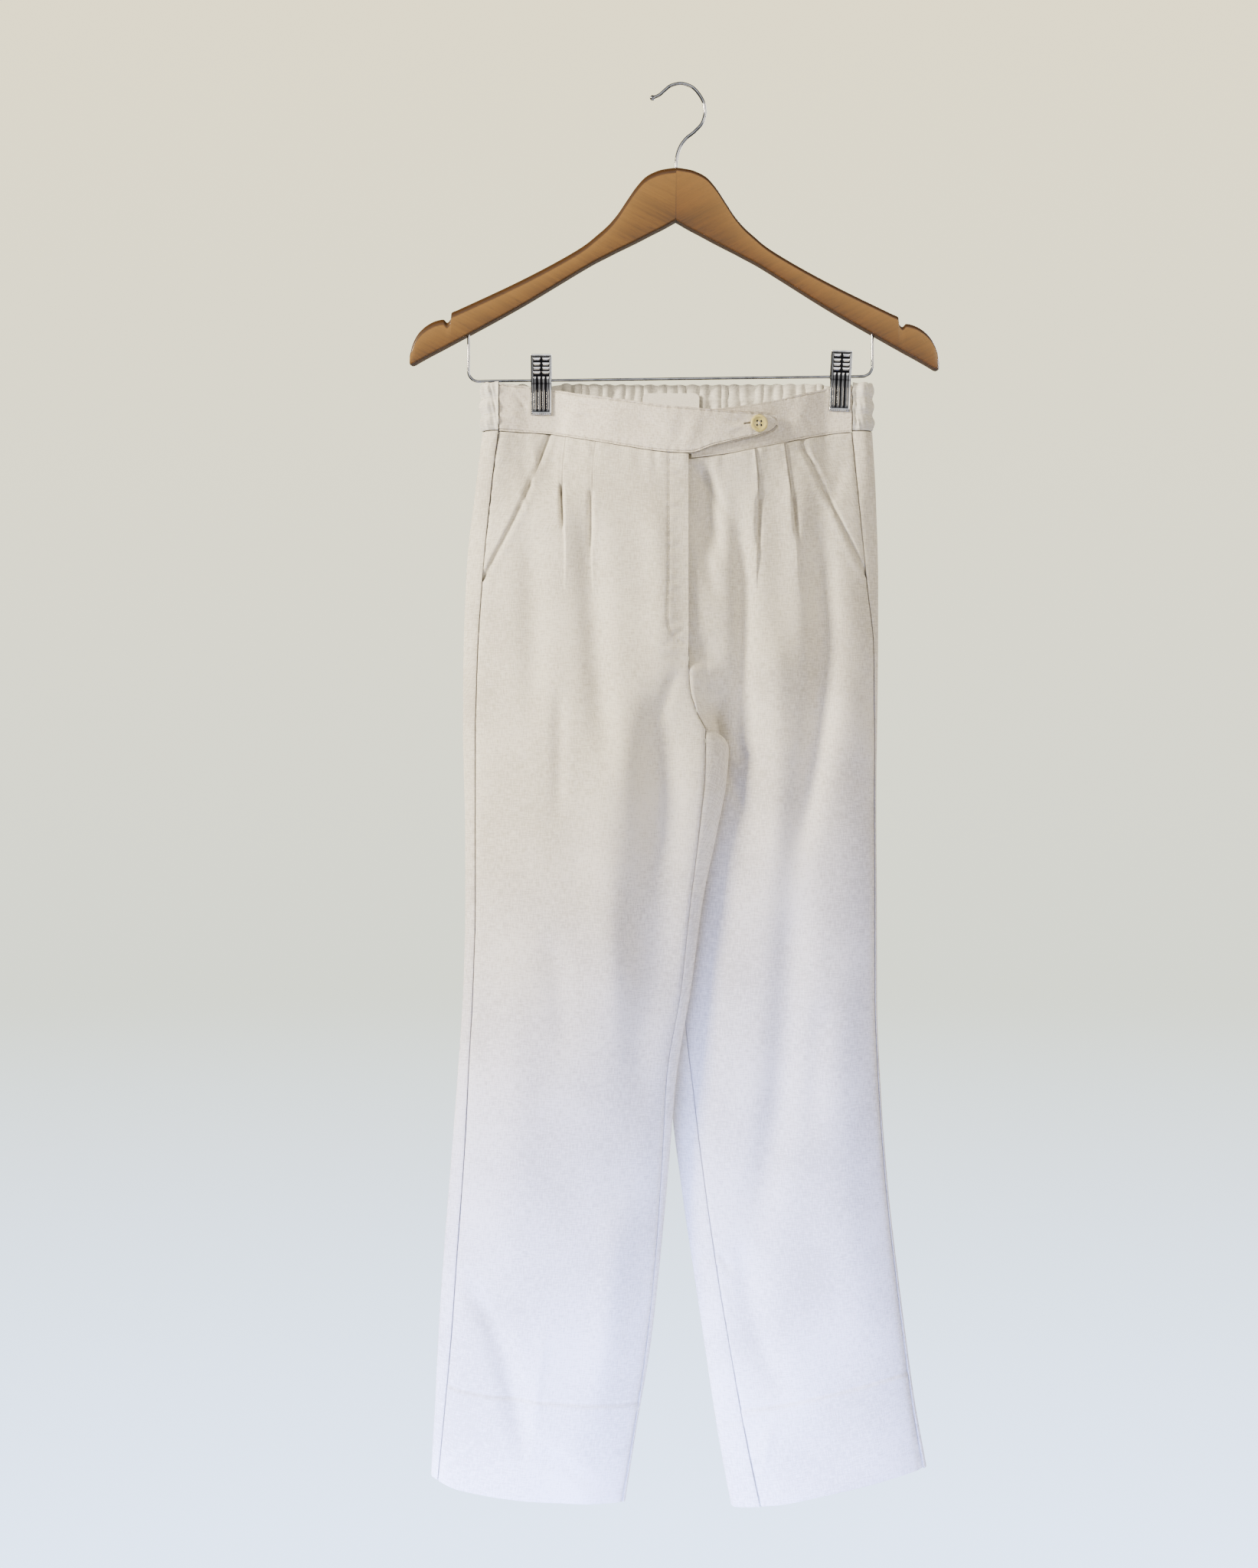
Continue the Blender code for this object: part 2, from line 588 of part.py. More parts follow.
def back_edge(side, level):
    """The inner edge of a back: down the seat seam and under the fork, then down the inseam."""
    if side is RIGHT:
        z = np.interp(level, [-0.665, -0.635, -0.600, -0.572], [*LEG_LEVELS[2::-1], CROTCH_Z])
        z = np.where(level < -0.665, level, z)
        turned = level < -0.572
        x, y = right_front_edge(z)
    else:
        z = level
        turned = level <= FORK_Z
        x, y = left_front_edge(z)
    x = np.where(turned, x, follow(SEAT_SEAM, "x", level) - side["inward"] * SEAM_GAP / 2)
    y = np.where(turned, y, follow(SEAT_SEAM, "y", level))
    return x, y, np.where(turned, z, follow(SEAT_SEAM, "z", level))


def back_panel(side):
    """Shape of a back. u runs from the side seam round the side fold, across and round the inner fold."""
    levels, leg, inward = side["back_levels"], side["leg"], side["inward"]
    fold_stop, near_stop = BACK_STOPS

    def shape(u, v):
        level = np.interp(v * (len(levels) - 1), range(len(levels)), levels)
        end_x, end_y, end_z = back_edge(side, level)
        z = mix(level, end_z, ease(0.80, 1.0, u))
        outer, inner = follow(leg, "outer", z), follow(leg, "inner", z)
        other = follow((LEFT if side is RIGHT else RIGHT)["leg"], "outer", z)
        seam = follow(leg, "side", z)

        # Round the leg: past the inner fold only below the fork.
        wrapped = ease(FORK_Z, -0.572, level) if side is RIGHT else ease(-0.532, FORK_Z, level)
        short = -turn_at(end_x, outer, inner)
        round_fold = turn_at(follow(leg, "inseam", z), outer, inner) - 2 * math.pi
        last = mix(short, round_fold, wrapped)
        near = mix(last * (near_stop - fold_stop) / (1 - fold_stop), NEAR_TURN, ease(-0.430, FORK_Z, level))
        on_leg = spread(u, (0.0, turn_at(seam, outer, inner)), (fold_stop, 0.0), (near_stop, near), (1.0, last))
        seat = -turn_at(follow(SEAT_SEAM, "x", np.maximum(level, FORK_Z)), outer, other)
        on_body = spread(u, (0.0, turn_at(seam, outer, other)), (fold_stop, 0.0), (1.0, seat))
        apart = ease(-0.430, FORK_Z, level)
        x, y = mix(ring(side, on_body, z, False), ring(side, on_leg, z, True), apart)
        last_x, last_y = mix(ring(side, seat, z, False), ring(side, last, z, True), apart)

        behind = ease(0.15, 0.30, u) * ease(0.95, 0.75, u)
        y = y - fold_relief(side["back_folds"], x, z) * behind
        y = y + fold_relief(side["front_folds"], x, z) * ease(fold_stop, 0.0, u)
        gathers = 0.0022 * np.sin(u * 2 * math.pi * 9) * ease(-0.420, -0.300, z)
        y = y + gathers * ease(0.12, 0.25, u) * ease(1.0, 0.9, u)
        pull = ease(0.62, 1.0, u)
        x = x + (end_x - last_x) * pull - inward * SEAM_GAP / 2 * ease(fold_stop, 0.0, u)
        y = y + (end_y - last_y) * pull
        hem = follow(side["hem"], "z", x) + 0.002 * behind
        return x, y, ends_to_band_and_hem(z, BAND_BOTTOM_Z, hem)

    return shape


# ---------------------------------------------------------------- the form of the waistband


def right_band(u, v):
    """From the elastic at the right side to the round end of the tab, which laps over the left band."""
    start = BAND_RIGHT_X + SEAM_GAP
    stops = ((0.0, start), (0.1, -0.1262), (0.15, -0.1072), (0.6, 0.0061), (0.85, 0.0650), (1.0, 0.0788))
    x = spread(u, *stops)
    z = mix(follow(RIGHT_BAND_EDGES, "top", x), follow(RIGHT_BAND_EDGES, "bottom", x), v)
    return x, follow(WAIST_PLAN, "front", x) - SEAM_GAP, z


def left_band(u, v):
    """From behind the tab to the elastic at the left side. Its twelfth column lies at the clip's edge."""
    x = spread(u, (0.0, 0.0080), (12 / LEFT_BAND_COLUMNS, 0.1236), (1.0, BAND_LEFT_X - SEAM_GAP))
    z = mix(follow(LEFT_BAND_EDGES, "top", x), follow(LEFT_BAND_EDGES, "bottom", x), v)
    return x, follow(WAIST_PLAN, "front", x) - SEAM_GAP + LEFT_RECESS * ease(0.100, 0.060, x), z


def waist_path():
    """The plan of the elastic band, from the right front seam round the back to the left one."""
    right, left = WAIST_PLAN["x"][0], WAIST_PLAN["x"][-1]
    around = right + (left - right) * (1 - np.cos(np.linspace(0, math.pi, 241))) / 2
    front_right = np.linspace(BAND_RIGHT_X - SEAM_GAP, right, WAIST_END_POINTS)
    front_left = np.linspace(left, BAND_LEFT_X + SEAM_GAP, WAIST_END_POINTS)
    x = np.concatenate([front_right, around[1:-1], front_left])
    front = follow(WAIST_PLAN, "front", x) - SEAM_GAP
    y = np.where(np.arange(len(x)) < WAIST_END_POINTS, front, follow(WAIST_PLAN, "back", x))
    y[-WAIST_END_POINTS:] = front[-WAIST_END_POINTS:]
    lengths = np.concatenate([[0.0], np.cumsum(np.hypot(np.diff(x), np.diff(y)))])
    return lengths / lengths[-1], x, y


def elastic_band(u, v):
    """Gathered in three channels, and nipped flat where the clips hold it."""
    share, path_x, path_y = waist_path()
    x, y = np.interp(u, share, path_x), np.interp(u, share, path_y)
    near = 0.004
    before = np.array([np.interp(u - near, share, path) for path in (path_x, path_y)])
    after = np.array([np.interp(u + near, share, path) for path in (path_x, path_y)])
    along = (after - before) / np.hypot(*(after - before))
    gather = np.cos(2 * math.pi * GATHERS * u)
    channel = np.cos(2 * math.pi * 3 * v)  # 1 on the edges and both stitched lines, -1 between them
    nipped = sum(np.exp(-(((x - clip) / 0.013) ** 4)) for clip in (CLIP_RIGHT_X, CLIP_LEFT_X))
    depth = GATHER_DEPTH * (0.75 - 0.25 * channel) * (1 - 0.75 * np.minimum(nipped, 1))
    depth = depth * ease(0.0, 0.02, u) * ease(1.0, 0.98, u)
    puff = 0.0004 * (1 - channel) / 2
    out = gather * depth + puff * (1 - nipped)
    z = mix(BAND_TOP_Z - CLIP_DIP * nipped, BAND_BOTTOM_Z, v)
    return x - along[1] * out, y + along[0] * out, z


# ---------------------------------------------------------------- objects


def clear_scene():
    for item in list(bpy.data.objects):
        bpy.data.objects.remove(item, do_unlink=True)


def collection(name):
    made = bpy.data.collections.new(name)
    bpy.context.scene.collection.children.link(made)
    return made


def material(name):
    found = bpy.data.materials.get(name)
    if found:
        return found
    colour, roughness, metallic = COLOURS[name]
    made = bpy.data.materials.new(name)
    made.use_nodes = True
    shader = made.node_tree.nodes["Principled BSDF"]
    shader.inputs["Base Color"].default_value = (*colour, 1.0)
    shader.inputs["Roughness"].default_value = roughness
    shader.inputs["Metallic"].default_value = metallic
    return made


def place(name, data, finish, into):
    data.materials.clear()
    data.materials.append(material(finish))
    made = bpy.data.objects.new(name, data)
    into.objects.link(made)
    return made


def smooth_mesh(name, bm):
    bmesh.ops.recalc_face_normals(bm, faces=bm.faces)
    mesh = bpy.data.meshes.new(name)
    bm.to_mesh(mesh)
    bm.free()
    mesh.shade_smooth()
    mesh.set_sharp_from_angle(angle=math.radians(50))
    return mesh


def face_normals(face):
    """Unit normals of a bent grid of points, from the faces round each point."""
    across = face[:-1, 1:] - face[1:, :-1]
    down = face[1:, 1:] - face[:-1, :-1]
    flat = np.cross(down, across)
    normals = np.zeros_like(face)
    for rows in (slice(0, -1), slice(1, None)):
        for columns in (slice(0, -1), slice(1, None)):
            normals[rows, columns] += flat
    return normals / np.linalg.norm(normals, axis=-1, keepdims=True)


def sheet(name, columns, rows, shape, thickness, finish, into, outward=1, mitre=(0.0, 0.0)):
    """A grid bent to a shape of (u, v), v running down, with its wall behind the outer face.

    outward is -1 where u runs the other way. mitre slants the wall's first and last edge back from its
    neighbour, as shares of the thickness, where two pieces meet round a fold.
    """
    u, v = np.meshgrid(np.linspace(0, 1, columns + 1), np.linspace(0, 1, rows + 1))
    face = np.stack(np.broadcast_arrays(*shape(u, v)), axis=-1)
    inside = face - face_normals(face) * outward * thickness
    for edge, beside, slant in ((0, 1, mitre[0]), (-1, -2, mitre[1])):
        away = face[:, beside] - face[:, edge]
        inside[:, edge] += away / np.linalg.norm(away, axis=-1, keepdims=True) * slant * thickness

    bm = bmesh.new()
    bmesh.ops.create_grid(bm, x_segments=columns, y_segments=rows, size=0.5)
    spot = bm.verts.layers.int.new("spot")
    for vert in bm.verts:
        column, row = round((vert.co.x + 0.5) * columns), round((0.5 - vert.co.y) * rows)
        vert[spot] = row * (columns + 1) + column
    grown = bmesh.ops.extrude_face_region(bm, geom=bm.faces, use_keep_orig=True)
    behind = {item for item in grown["geom"] if isinstance(item, bmesh.types.BMVert)}
    face, inside = face.reshape(-1, 3), inside.reshape(-1, 3)
    for vert in bm.verts:
        vert.co = (inside if vert in behind else face)[vert[spot]]
    return place(name, smooth_mesh(name, bm), finish, into)


def make_panels(into):
    edges = ((RIGHT, "right", right_front_edge), (LEFT, "left", left_front_edge))
    for side, name, edge in edges:
        rows, way = len(side["front_levels"]) - 1, side["inward"]
        front = front_panel(side, edge)
        sheet(f"front_{name}", FRONT_COLUMNS, rows, front, CLOTH, "white_suiting", into, way, (0.6, 1.1))
        rows = len(side["back_levels"]) - 1
        back = back_panel(side)
        sheet(f"back_{name}", BACK_COLUMNS, rows, back, CLOTH, "white_suiting", into, -way, (0.9, 1.1))
        facing = pocket_facing(side)
        sheet(f"pocket_facing_{name}", 5, 8, facing, CLOTH, "white_suiting", into, way, (0.6, 0.0))


def make_waistband(into):
    sheet("waistband_front_right", 20, 3, right_band, BAND, "waistband_cloth", into, 1, (0.3, 0.0))
    sheet("waistband_front_left", LEFT_BAND_COLUMNS, 3, left_band, BAND, "waistband_cloth", into, 1, (0.0, 0.3))
    sheet("waistband_back", 2 * GATHERS, 6, elastic_band, BAND, "waistband_cloth", into, -1, (0.3, 0.3))


def make_label(into):
    """A plain patch with round corners, inside the centre back."""
    width, height = LABEL_SIZE
    bm = bmesh.new()
    bmesh.ops.create_grid(bm, x_segments=1, y_segments=1, size=0.5)
    bmesh.ops.scale(bm, vec=(width, height, 1), verts=bm.verts)
    bmesh.ops.bevel(bm, geom=bm.verts[:], offset=LABEL_CORNER, segments=4, profile=0.5, affect="VERTICES")
    grown = bmesh.ops.extrude_face_region(bm, geom=bm.faces, use_keep_orig=True)
    behind = [item for item in grown["geom"] if isinstance(item, bmesh.types.BMVert)]
    bmesh.ops.translate(bm, vec=(0, 0, -LABEL_THICKNESS), verts=behind)
    patch = place("label", smooth_mesh("label", bm), "label_cloth", into)
    inner_face = float(follow(WAIST_PLAN, "back", LABEL_NEAR_X)) - BAND - GATHER_DEPTH
    patch.location = (LABEL_X, inner_face - SEAM_GAP - LABEL_THICKNESS, LABEL_TOP_Z - height / 2)
    patch.rotation_euler.x = math.pi / 2


# ---------------------------------------------------------------- hard pieces


def turned(name, profile, steps, finish, into):
    """A profile of (radius, height) turned round Z."""
    mesh = bpy.data.meshes.new(name)
    mesh.from_pydata([(r, 0, h) for r, h in profile], [(i, i + 1) for i in range(len(profile) - 1)], [])
    made = place(name, mesh, finish, into)
    screw = made.modifiers.new("turn", "SCREW")
    screw.steps = screw.render_steps = steps
    screw.use_merge_vertices = True
    screw.merge_threshold = 0.00001
    screw.use_normal_calculate = True
    return made


def cylinder(name, radius, depth, into, sides=16):
    mesh = bpy.data.meshes.new(name)
    bm = bmesh.new()
    bmesh.ops.create_cone(bm, cap_ends=True, segments=sides, radius1=radius, radius2=radius, depth=depth)
    bm.to_mesh(mesh)
    bm.free()
    made = bpy.data.objects.new(name, mesh)
    into.objects.link(made)
    made.hide_render = True
    made.display_type = "WIRE"
    return made


def drill(target, location, direction, radius, depth, cutters, sides=16):
    tool = cylinder(f"drill_{len(cutters.objects)}", radius, depth, cutters, sides)
    tool.location = location
    tool.rotation_euler = Vector(direction).to_track_quat("Z", "Y").to_euler()
    hole = target.modifiers.new("hole", "BOOLEAN")
    hole.operation = "DIFFERENCE"
    hole.object = tool


def make_button(into, cutters):
    rim, dish = BUTTON_RADIUS, BUTTON_DISH
    half = BUTTON_HEIGHT / 2
    profile = [(0.0, half - 0.0007), (dish - 0.0008, half - 0.0007), (dish, half - 0.0001), (rim - 0.0009, half)]
    profile += [(rim, half - 0.0009), (rim - 0.0004, -half + 0.0006), (rim - 0.0020, -half), (0.0, -half)]
    button = turned("button", profile, 24, "button_horn", into)
    before, after = follow(WAIST_PLAN, "front", [BUTTON_X - 0.004, BUTTON_X + 0.004])
    slope = math.atan2(after - before, 0.008)
    outward = Vector((math.sin(slope), -math.cos(slope), 0))
    tab_face = Vector((BUTTON_X, float(follow(WAIST_PLAN, "front", BUTTON_X)) - SEAM_GAP, BUTTON_Z))
    centre = tab_face + outward * (SEAM_GAP + half)
    button.location = centre
    button.rotation_euler = outward.to_track_quat("Z", "Y").to_euler()
    for across in (-BUTTON_HOLE_REACH, BUTTON_HOLE_REACH):
        for up in (-BUTTON_HOLE_REACH, BUTTON_HOLE_REACH):
            spot = centre + Vector((math.cos(slope), math.sin(slope), 0)) * across + Vector((0, 0, up))
            drill(button, spot, outward, BUTTON_HOLE, 0.01, cutters, sides=8)


def hanger_section(reach, top, bottom):
    """One upright section of an arm: a rectangle with its four corners cut off."""
    edge = min(HANGER_EDGE, (top - bottom) * 0.3)
    half = HANGER_THICKNESS / 2
    corners = [(-half, bottom + edge), (-half, top - edge), (-half + edge, top), (half - edge, top)]
    corners += [(half, top - edge), (half, bottom + edge), (half - edge, bottom), (-half + edge, bottom)]
    return [Vector((reach, y, z)) for y, z in corners]


def make_hanger_arm(name, way, into):
    """A loft through the sections of HANGER_ARM, towards -X or +X."""
    bm = bmesh.new()
    rings = []
    for reach, top, bottom in zip(*HANGER_ARM.values()):
        section = hanger_section(reach * way, top, bottom)
        rings.append([bm.verts.new(point) for point in section])
    for near, far in zip(rings, rings[1:]):
        for i in range(len(near)):
            bm.faces.new((near[i - 1], near[i], far[i], far[i - 1]))
    bm.faces.new(rings[0])
    bm.faces.new(rings[-1])
    arm = place(name, smooth_mesh(name, bm), "varnished_wood", into)
    arm.location = HANGER_CENTRE
    arm.rotation_euler.y = HANGER_TILT
    return arm


def wire(name, points, radius, finish, into, bulb=()):
    """A round wire through points. bulb gives the first few points' radii as shares of its own."""
    data = bpy.data.curves.new(name, "CURVE")
    data.dimensions = "3D"
    data.bevel_depth = radius
    data.bevel_resolution = 2
    data.use_fill_caps = True
    spline = data.splines.new("POLY")
    spline.points.add(len(points) - 1)
    for i, (knot, point) in enumerate(zip(spline.points, points)):
        knot.co = (*point, 1.0)
        knot.radius = bulb[i] if i < len(bulb) else 1.0
    spline.use_smooth = True
    return place(name, data, finish, into)


def hook_points():
    steps = np.concatenate([[0.0, 0.12, 0.3, 0.5], np.arange(1.0, 13.1, 0.5), [14.0, 15.0, 16.0]])
    return [(float(follow(HOOK, "x", s)), 0.0, float(follow(HOOK, "z", s))) for s in steps]


def bar_points():
    """Up out of the right arm's underside, down and round a corner, along, and up into the left arm."""
    corner, turns = BAR_CORNER, np.linspace(0, math.pi / 2, 6)
    right_x, right_z, right_end = BAR_RIGHT
    left_x, left_z, left_end = BAR_LEFT
    points = [(right_x, right_end)]
    points += [(right_x + corner * (1 - math.cos(t)), right_z + corner * (1 - math.sin(t))) for t in turns]
    points += [(x, mix(right_z, left_z, (x - right_x) / (left_x - right_x))) for x in (-0.06, 0.045)]
    points += [(left_x - corner * (1 - math.cos(t)), left_z + corner * (1 - math.sin(t))) for t in turns[::-1]]
    points += [(left_x, left_end)]
    return [(x, 0.0, z) for x, z in points]


def bar_height(x):
    """Height of the bar's centre line at x."""
    return mix(BAR_RIGHT[1], BAR_LEFT[1], (x - BAR_RIGHT[0]) / (BAR_LEFT[0] - BAR_RIGHT[0]))


def clip_sheet(width):
    """One jaw as a channel: the front face, with both its sides turned back towards the bar."""
    half, corner = width / 2, 0.0010

    def shape(u, v):
        step = v * CLIP_ROWS
        column = np.rint(u * 6).astype(int)
        x = np.array([-half, -half, -half + corner, 0.0, half - corner, half, half])[column]
        flange = np.maximum(follow(CLIP_PROFILE, "flange", step), corner + 0.0002)
        back = np.array([1.0, 0.0, 0.0, 0.0, 0.0, 0.0, 1.0])[column] * (flange - corner)
        back = back + np.array([1.0, 1.0, 0.0, -0.25, 0.0, 1.0, 1.0])[column] * corner
        return x, back - follow(CLIP_PROFILE, "out", step), follow(CLIP_PROFILE, "up", step)

    return shape


def make_clip(name, x, tilt, into, cutters):
    pivot = Vector((x, 0.0, bar_height(x)))
    inner_width = CLIP_WIDTH - 2 * (CLIP_SHEET + 0.0004)
    for jaw, width, turn in (("front", CLIP_WIDTH, 0.0), ("back", inner_width, math.pi)):
        made = sheet(f"{name}_{jaw}", 6, CLIP_ROWS, clip_sheet(width), CLIP_SHEET, "clip_chrome", into)
        made.location = pivot
        made.rotation_euler = (Matrix.Rotation(tilt, 3, "Y") @ Matrix.Rotation(turn, 3, "Z")).to_euler()
        drill(made, pivot, (1, 0, BAR_SLOPE), BAR_WIRE + DRILL_CLEARANCE, 0.03, cutters, sides=12)
    inner, outer, half = BAR_WIRE + DRILL_CLEARANCE, 0.0034, inner_width / 2 - CLIP_SHEET - 0.0006
    profile = [(outer, half), (outer, -half), (inner, -half), (inner, half), (outer, half)]
    spring = turned(f"{name}_spring", profile, 14, "clip_chrome", into)
    spring.location = pivot
    spring.rotation_euler.y = math.pi / 2 - BAR_SLOPE


def make_hanger(into, cutters):
    arms = (("hanger_arm_right", -1, BAR_RIGHT[0], -0.1990), ("hanger_arm_left", 1, BAR_LEFT[0], -0.1975))
    for name, way, hole_x, hole_top in arms:
        arm = make_hanger_arm(name, way, into)
        drill(arm, (-0.0040, 0, -0.0780), (0, 0, 1), HOOK_WIRE + DRILL_CLEARANCE, 0.0340, cutters)
        drill(arm, (hole_x, 0, hole_top - 0.02), (0, 0, 1), BAR_WIRE + DRILL_CLEARANCE, 0.04, cutters)
    wire("hook", hook_points(), HOOK_WIRE, "steel_wire", into, bulb=(0.75, 1.35, 1.5, 1.2))
    wire("bar", bar_points(), BAR_WIRE, "steel_wire", into)
    make_clip("clip_right", CLIP_RIGHT_X, 0.0, into, cutters)
    make_clip("clip_left", CLIP_LEFT_X, math.radians(2), into, cutters)


def main():
    clear_scene()
    trousers = collection("trousers_on_clip_hanger")
    cutters = collection("cutters")
    make_panels(trousers)
    make_waistband(trousers)
    make_label(trousers)
    make_button(trousers, cutters)
    make_hanger(trousers, cutters)


main()
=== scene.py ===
"""White pleated trousers with a part-elastic waist, on a wooden hanger with two chrome clips.

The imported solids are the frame. Every piece here is drawn at a finer scale over the solid that it stands for.
Metres, +Z up, and the garment's front faces -Y. Right and left are the wearer's, so the right leg lies at -X.
"""

import json
import logging
import math
from collections.abc import Callable, Sequence
from dataclasses import dataclass
from enum import Enum

import bmesh
import bpy
import numpy as np
from bmesh.types import BMesh
from bpy.types import Mesh, Node, NodeSocket, NodeTree, Object
from mathutils import Matrix, Vector

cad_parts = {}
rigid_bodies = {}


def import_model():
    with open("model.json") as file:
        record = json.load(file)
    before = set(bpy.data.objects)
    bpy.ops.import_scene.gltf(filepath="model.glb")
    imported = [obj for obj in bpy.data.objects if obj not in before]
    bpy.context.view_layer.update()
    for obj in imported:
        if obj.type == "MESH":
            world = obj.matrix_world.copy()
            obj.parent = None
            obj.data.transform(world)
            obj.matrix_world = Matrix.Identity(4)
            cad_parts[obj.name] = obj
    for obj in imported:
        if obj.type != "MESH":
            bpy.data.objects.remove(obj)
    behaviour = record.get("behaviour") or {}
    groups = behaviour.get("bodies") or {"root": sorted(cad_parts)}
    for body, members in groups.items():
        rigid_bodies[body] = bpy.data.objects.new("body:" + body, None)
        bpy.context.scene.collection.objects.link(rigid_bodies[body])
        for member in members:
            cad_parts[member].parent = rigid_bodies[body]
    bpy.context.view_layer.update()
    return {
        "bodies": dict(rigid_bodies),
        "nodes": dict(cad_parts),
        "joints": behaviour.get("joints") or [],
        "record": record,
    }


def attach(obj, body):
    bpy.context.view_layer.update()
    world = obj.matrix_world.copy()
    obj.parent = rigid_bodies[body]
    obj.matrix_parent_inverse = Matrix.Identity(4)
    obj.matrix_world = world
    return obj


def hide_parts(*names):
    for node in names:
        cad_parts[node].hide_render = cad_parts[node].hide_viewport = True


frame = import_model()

LOG = logging.getLogger("trousers")
Array = np.ndarray
Table = Marks = dict[str, Array]
Points = tuple[Array, Array, Array]  # x, y and z
Shape = Callable[[Array, Array], Points]
Marking = Callable[[Array, Array], Marks]

# ---------------------------------------------------------------- sizes shared by several pieces

SEAM_GAP = 0.0003  # between two pieces sewn together
BAND_SEAM_GAP = 0.0004  # between a waistband and the panels below it
CLOTH = 0.0014  # wall of a panel, two layers at its seams
BAND = 0.0020  # wall of a waistband
FOLD_RADIUS = 0.0035  # how round the cloth turns at the side folds
WAIST_Z = -0.2915
CROTCH_Z = -0.5425  # where the fly seam, both inseams and the back seam meet
FORK_Z = -0.5565  # lowest point of the crotch seam
HEM_Z = -1.1800
BAND_TOP_Z, BAND_BOTTOM_Z = -0.2505, -0.2908  # elastic band, all round the back
CLIP_RIGHT_X, CLIP_LEFT_X = -0.1168, 0.1339


def table(columns: str, *rows: Sequence[float]) -> Table:
    """Names the columns of some rows. The first one orders them.

    Args:
        columns: the columns' names, parted by spaces. A first one called step only counts the rows.
        rows: the rows, in millimetres.

    Returns:
        Each column as an array, in metres.
    """
    names = columns.split()
    if names[0] == "step":
        rows = [(1000 * i, *row) for i, row in enumerate(rows)]
    by_column = ([round(value / 1000, 6) for value in values] for values in zip(*sorted(rows)))
    return {name: np.array(values) for name, values in zip(names, by_column)}


RIGHT_LEG = table(
    "z outer inner side inseam outer_y inner_y depth",
    (-290, -166.2, 40.5, -152.3, 6.1, 2, -14, 24), (-341, -172.6, 40.5, -159, 6.1, 3, -14, 24),
    (-400, -179.4, 40.5, -165, 6.1, 3, -14, 24), (-479, -182.6, 40.5, -170.5, 6.1, 3, -14, 24),
    (-510, -182.9, 40.5, -171.5, 7.1, 3, -14, 24), (-542.5, -183, 40.5, -172.4, 20.3, 3, -14, 24),
    (-572.5, -182.5, 39, -172.4, 20.1, 3, -14, 24), (-617, -181.3, 31.1, -172.4, 16.2, 2.5, -14, 23),
    (-690, -181, 17.4, -172.4, 7.4, 2, -14, 22), (-757, -182.6, 8.4, -174.3, 0.2, 1, -13, 22),
    (-830, -187.2, -3.5, -178, -11.8, 0, -11, 21), (-900, -192.5, -9.5, -181.6, -15.6, 0, -8, 20),
    (-975, -198.4, -16.4, -187, -20.5, 0, -6, 19), (-1050, -203.1, -25, -192.1, -28.2, 0, -4, 18),
    (-1120, -206.5, -37.2, -198.1, -38.5, 0, -3, 17), (-1195, -210.5, -49, -205.2, -51.4, 0, -2, 16),
)
LEFT_LEG = table(
    "z outer inner side inseam outer_y inner_y depth",
    (-290, 161, 21.5, 143.3, 23, 2, 13, 22), (-347, 164.3, 21.5, 148.9, 23, 3, 13, 22),
    (-420, 166.2, 21.5, 156.3, 23, 3, 13, 22), (-473, 166.1, 21.5, 162.2, 23, 3, 13, 22),
    (-556.5, 165.1, 21.5, 163.2, 23.2, 3, 13, 22), (-575, 164.8, 16, 163.2, 21.5, 3, 14, 21),
    (-617, 164.7, 6, 163.2, 15, 3, 15, 20), (-690, 165.1, -3, 163.4, 7, 3, 15, 20),
    (-770, 165.3, -8, 163.6, 3.6, 3, 14, 20), (-850, 168.6, -7.5, 167, 11.2, 2, 12, 20),
    (-925, 174.3, 0.6, 172.6, 20.4, 2, 8, 19), (-1000, 182.2, 12.1, 180.4, 31.7, 1, 6, 18),
    (-1064, 189.5, 22.2, 187.6, 43.4, 0, 4, 17), (-1120, 196.5, 31.2, 194.5, 53.8, 0, 3, 17),
    (-1200, 210, 46.4, 207.5, 70.5, 0, 2, 16),
)
BODY = table("z front back", (-290, 26, 8), (-360, 29, 18), (-450, 31, 24), (-560, 29, 26))

# The waist seen from above: bowed forward between the clips, nipped flat in each.
WAIST_PLAN = table(
    "x front back",
    (-167.5, 2, 2), (-164, -4, 8), (-154, -8, 11), (-138, -6, 6.8), (-126.5, -4.6, 4.6), (-107, -4.6, 4.6),
    (-93, -10, 6), (-55, -23.5, 8.5), (5, -32, 10), (65, -25.5, 8.5), (109, -10.5, 6), (124, -4.6, 4.6),
    (143.6, -4.6, 4.6), (153, -5.5, 7.5), (158.5, -3, 6.5), (161.6, 2, 2),
)
RIGHT_BAND_EDGES = table(
    "x top bottom",
    (-152.3, -252, -291.5), (-111.4, -256.3, -293.7), (-86.5, -261.7, -298.5), (-48, -268.4, -306.3),
    (-12, -274.3, -312.1), (6.1, -275.8, -313.1), (26.1, -277.8, -306.7), (50, -279.4, -300.4),
    (70, -280.1, -295.3), (76.5, -282.2, -292), (78.8, -285.5, -288.5),
)
LEFT_BAND_EDGES = table(
    "x top bottom",
    (8, -278.5, -317), (37, -274.8, -313.1), (62, -271.1, -307.8), (88, -265.4, -302),
    (111.7, -259.3, -296.8), (123.8, -255.7, -294.1), (143.7, -252.2, -291.9),
)
RIGHT_HEM = table("x z", (-210, -1168), (-184, -1176.8), (-130, -1183), (-74, -1187.3), (-49, -1188.5))
LEFT_HEM = table("x z", (46, -1194), (69.2, -1190.8), (128.4, -1177.6), (170, -1168), (209, -1160))

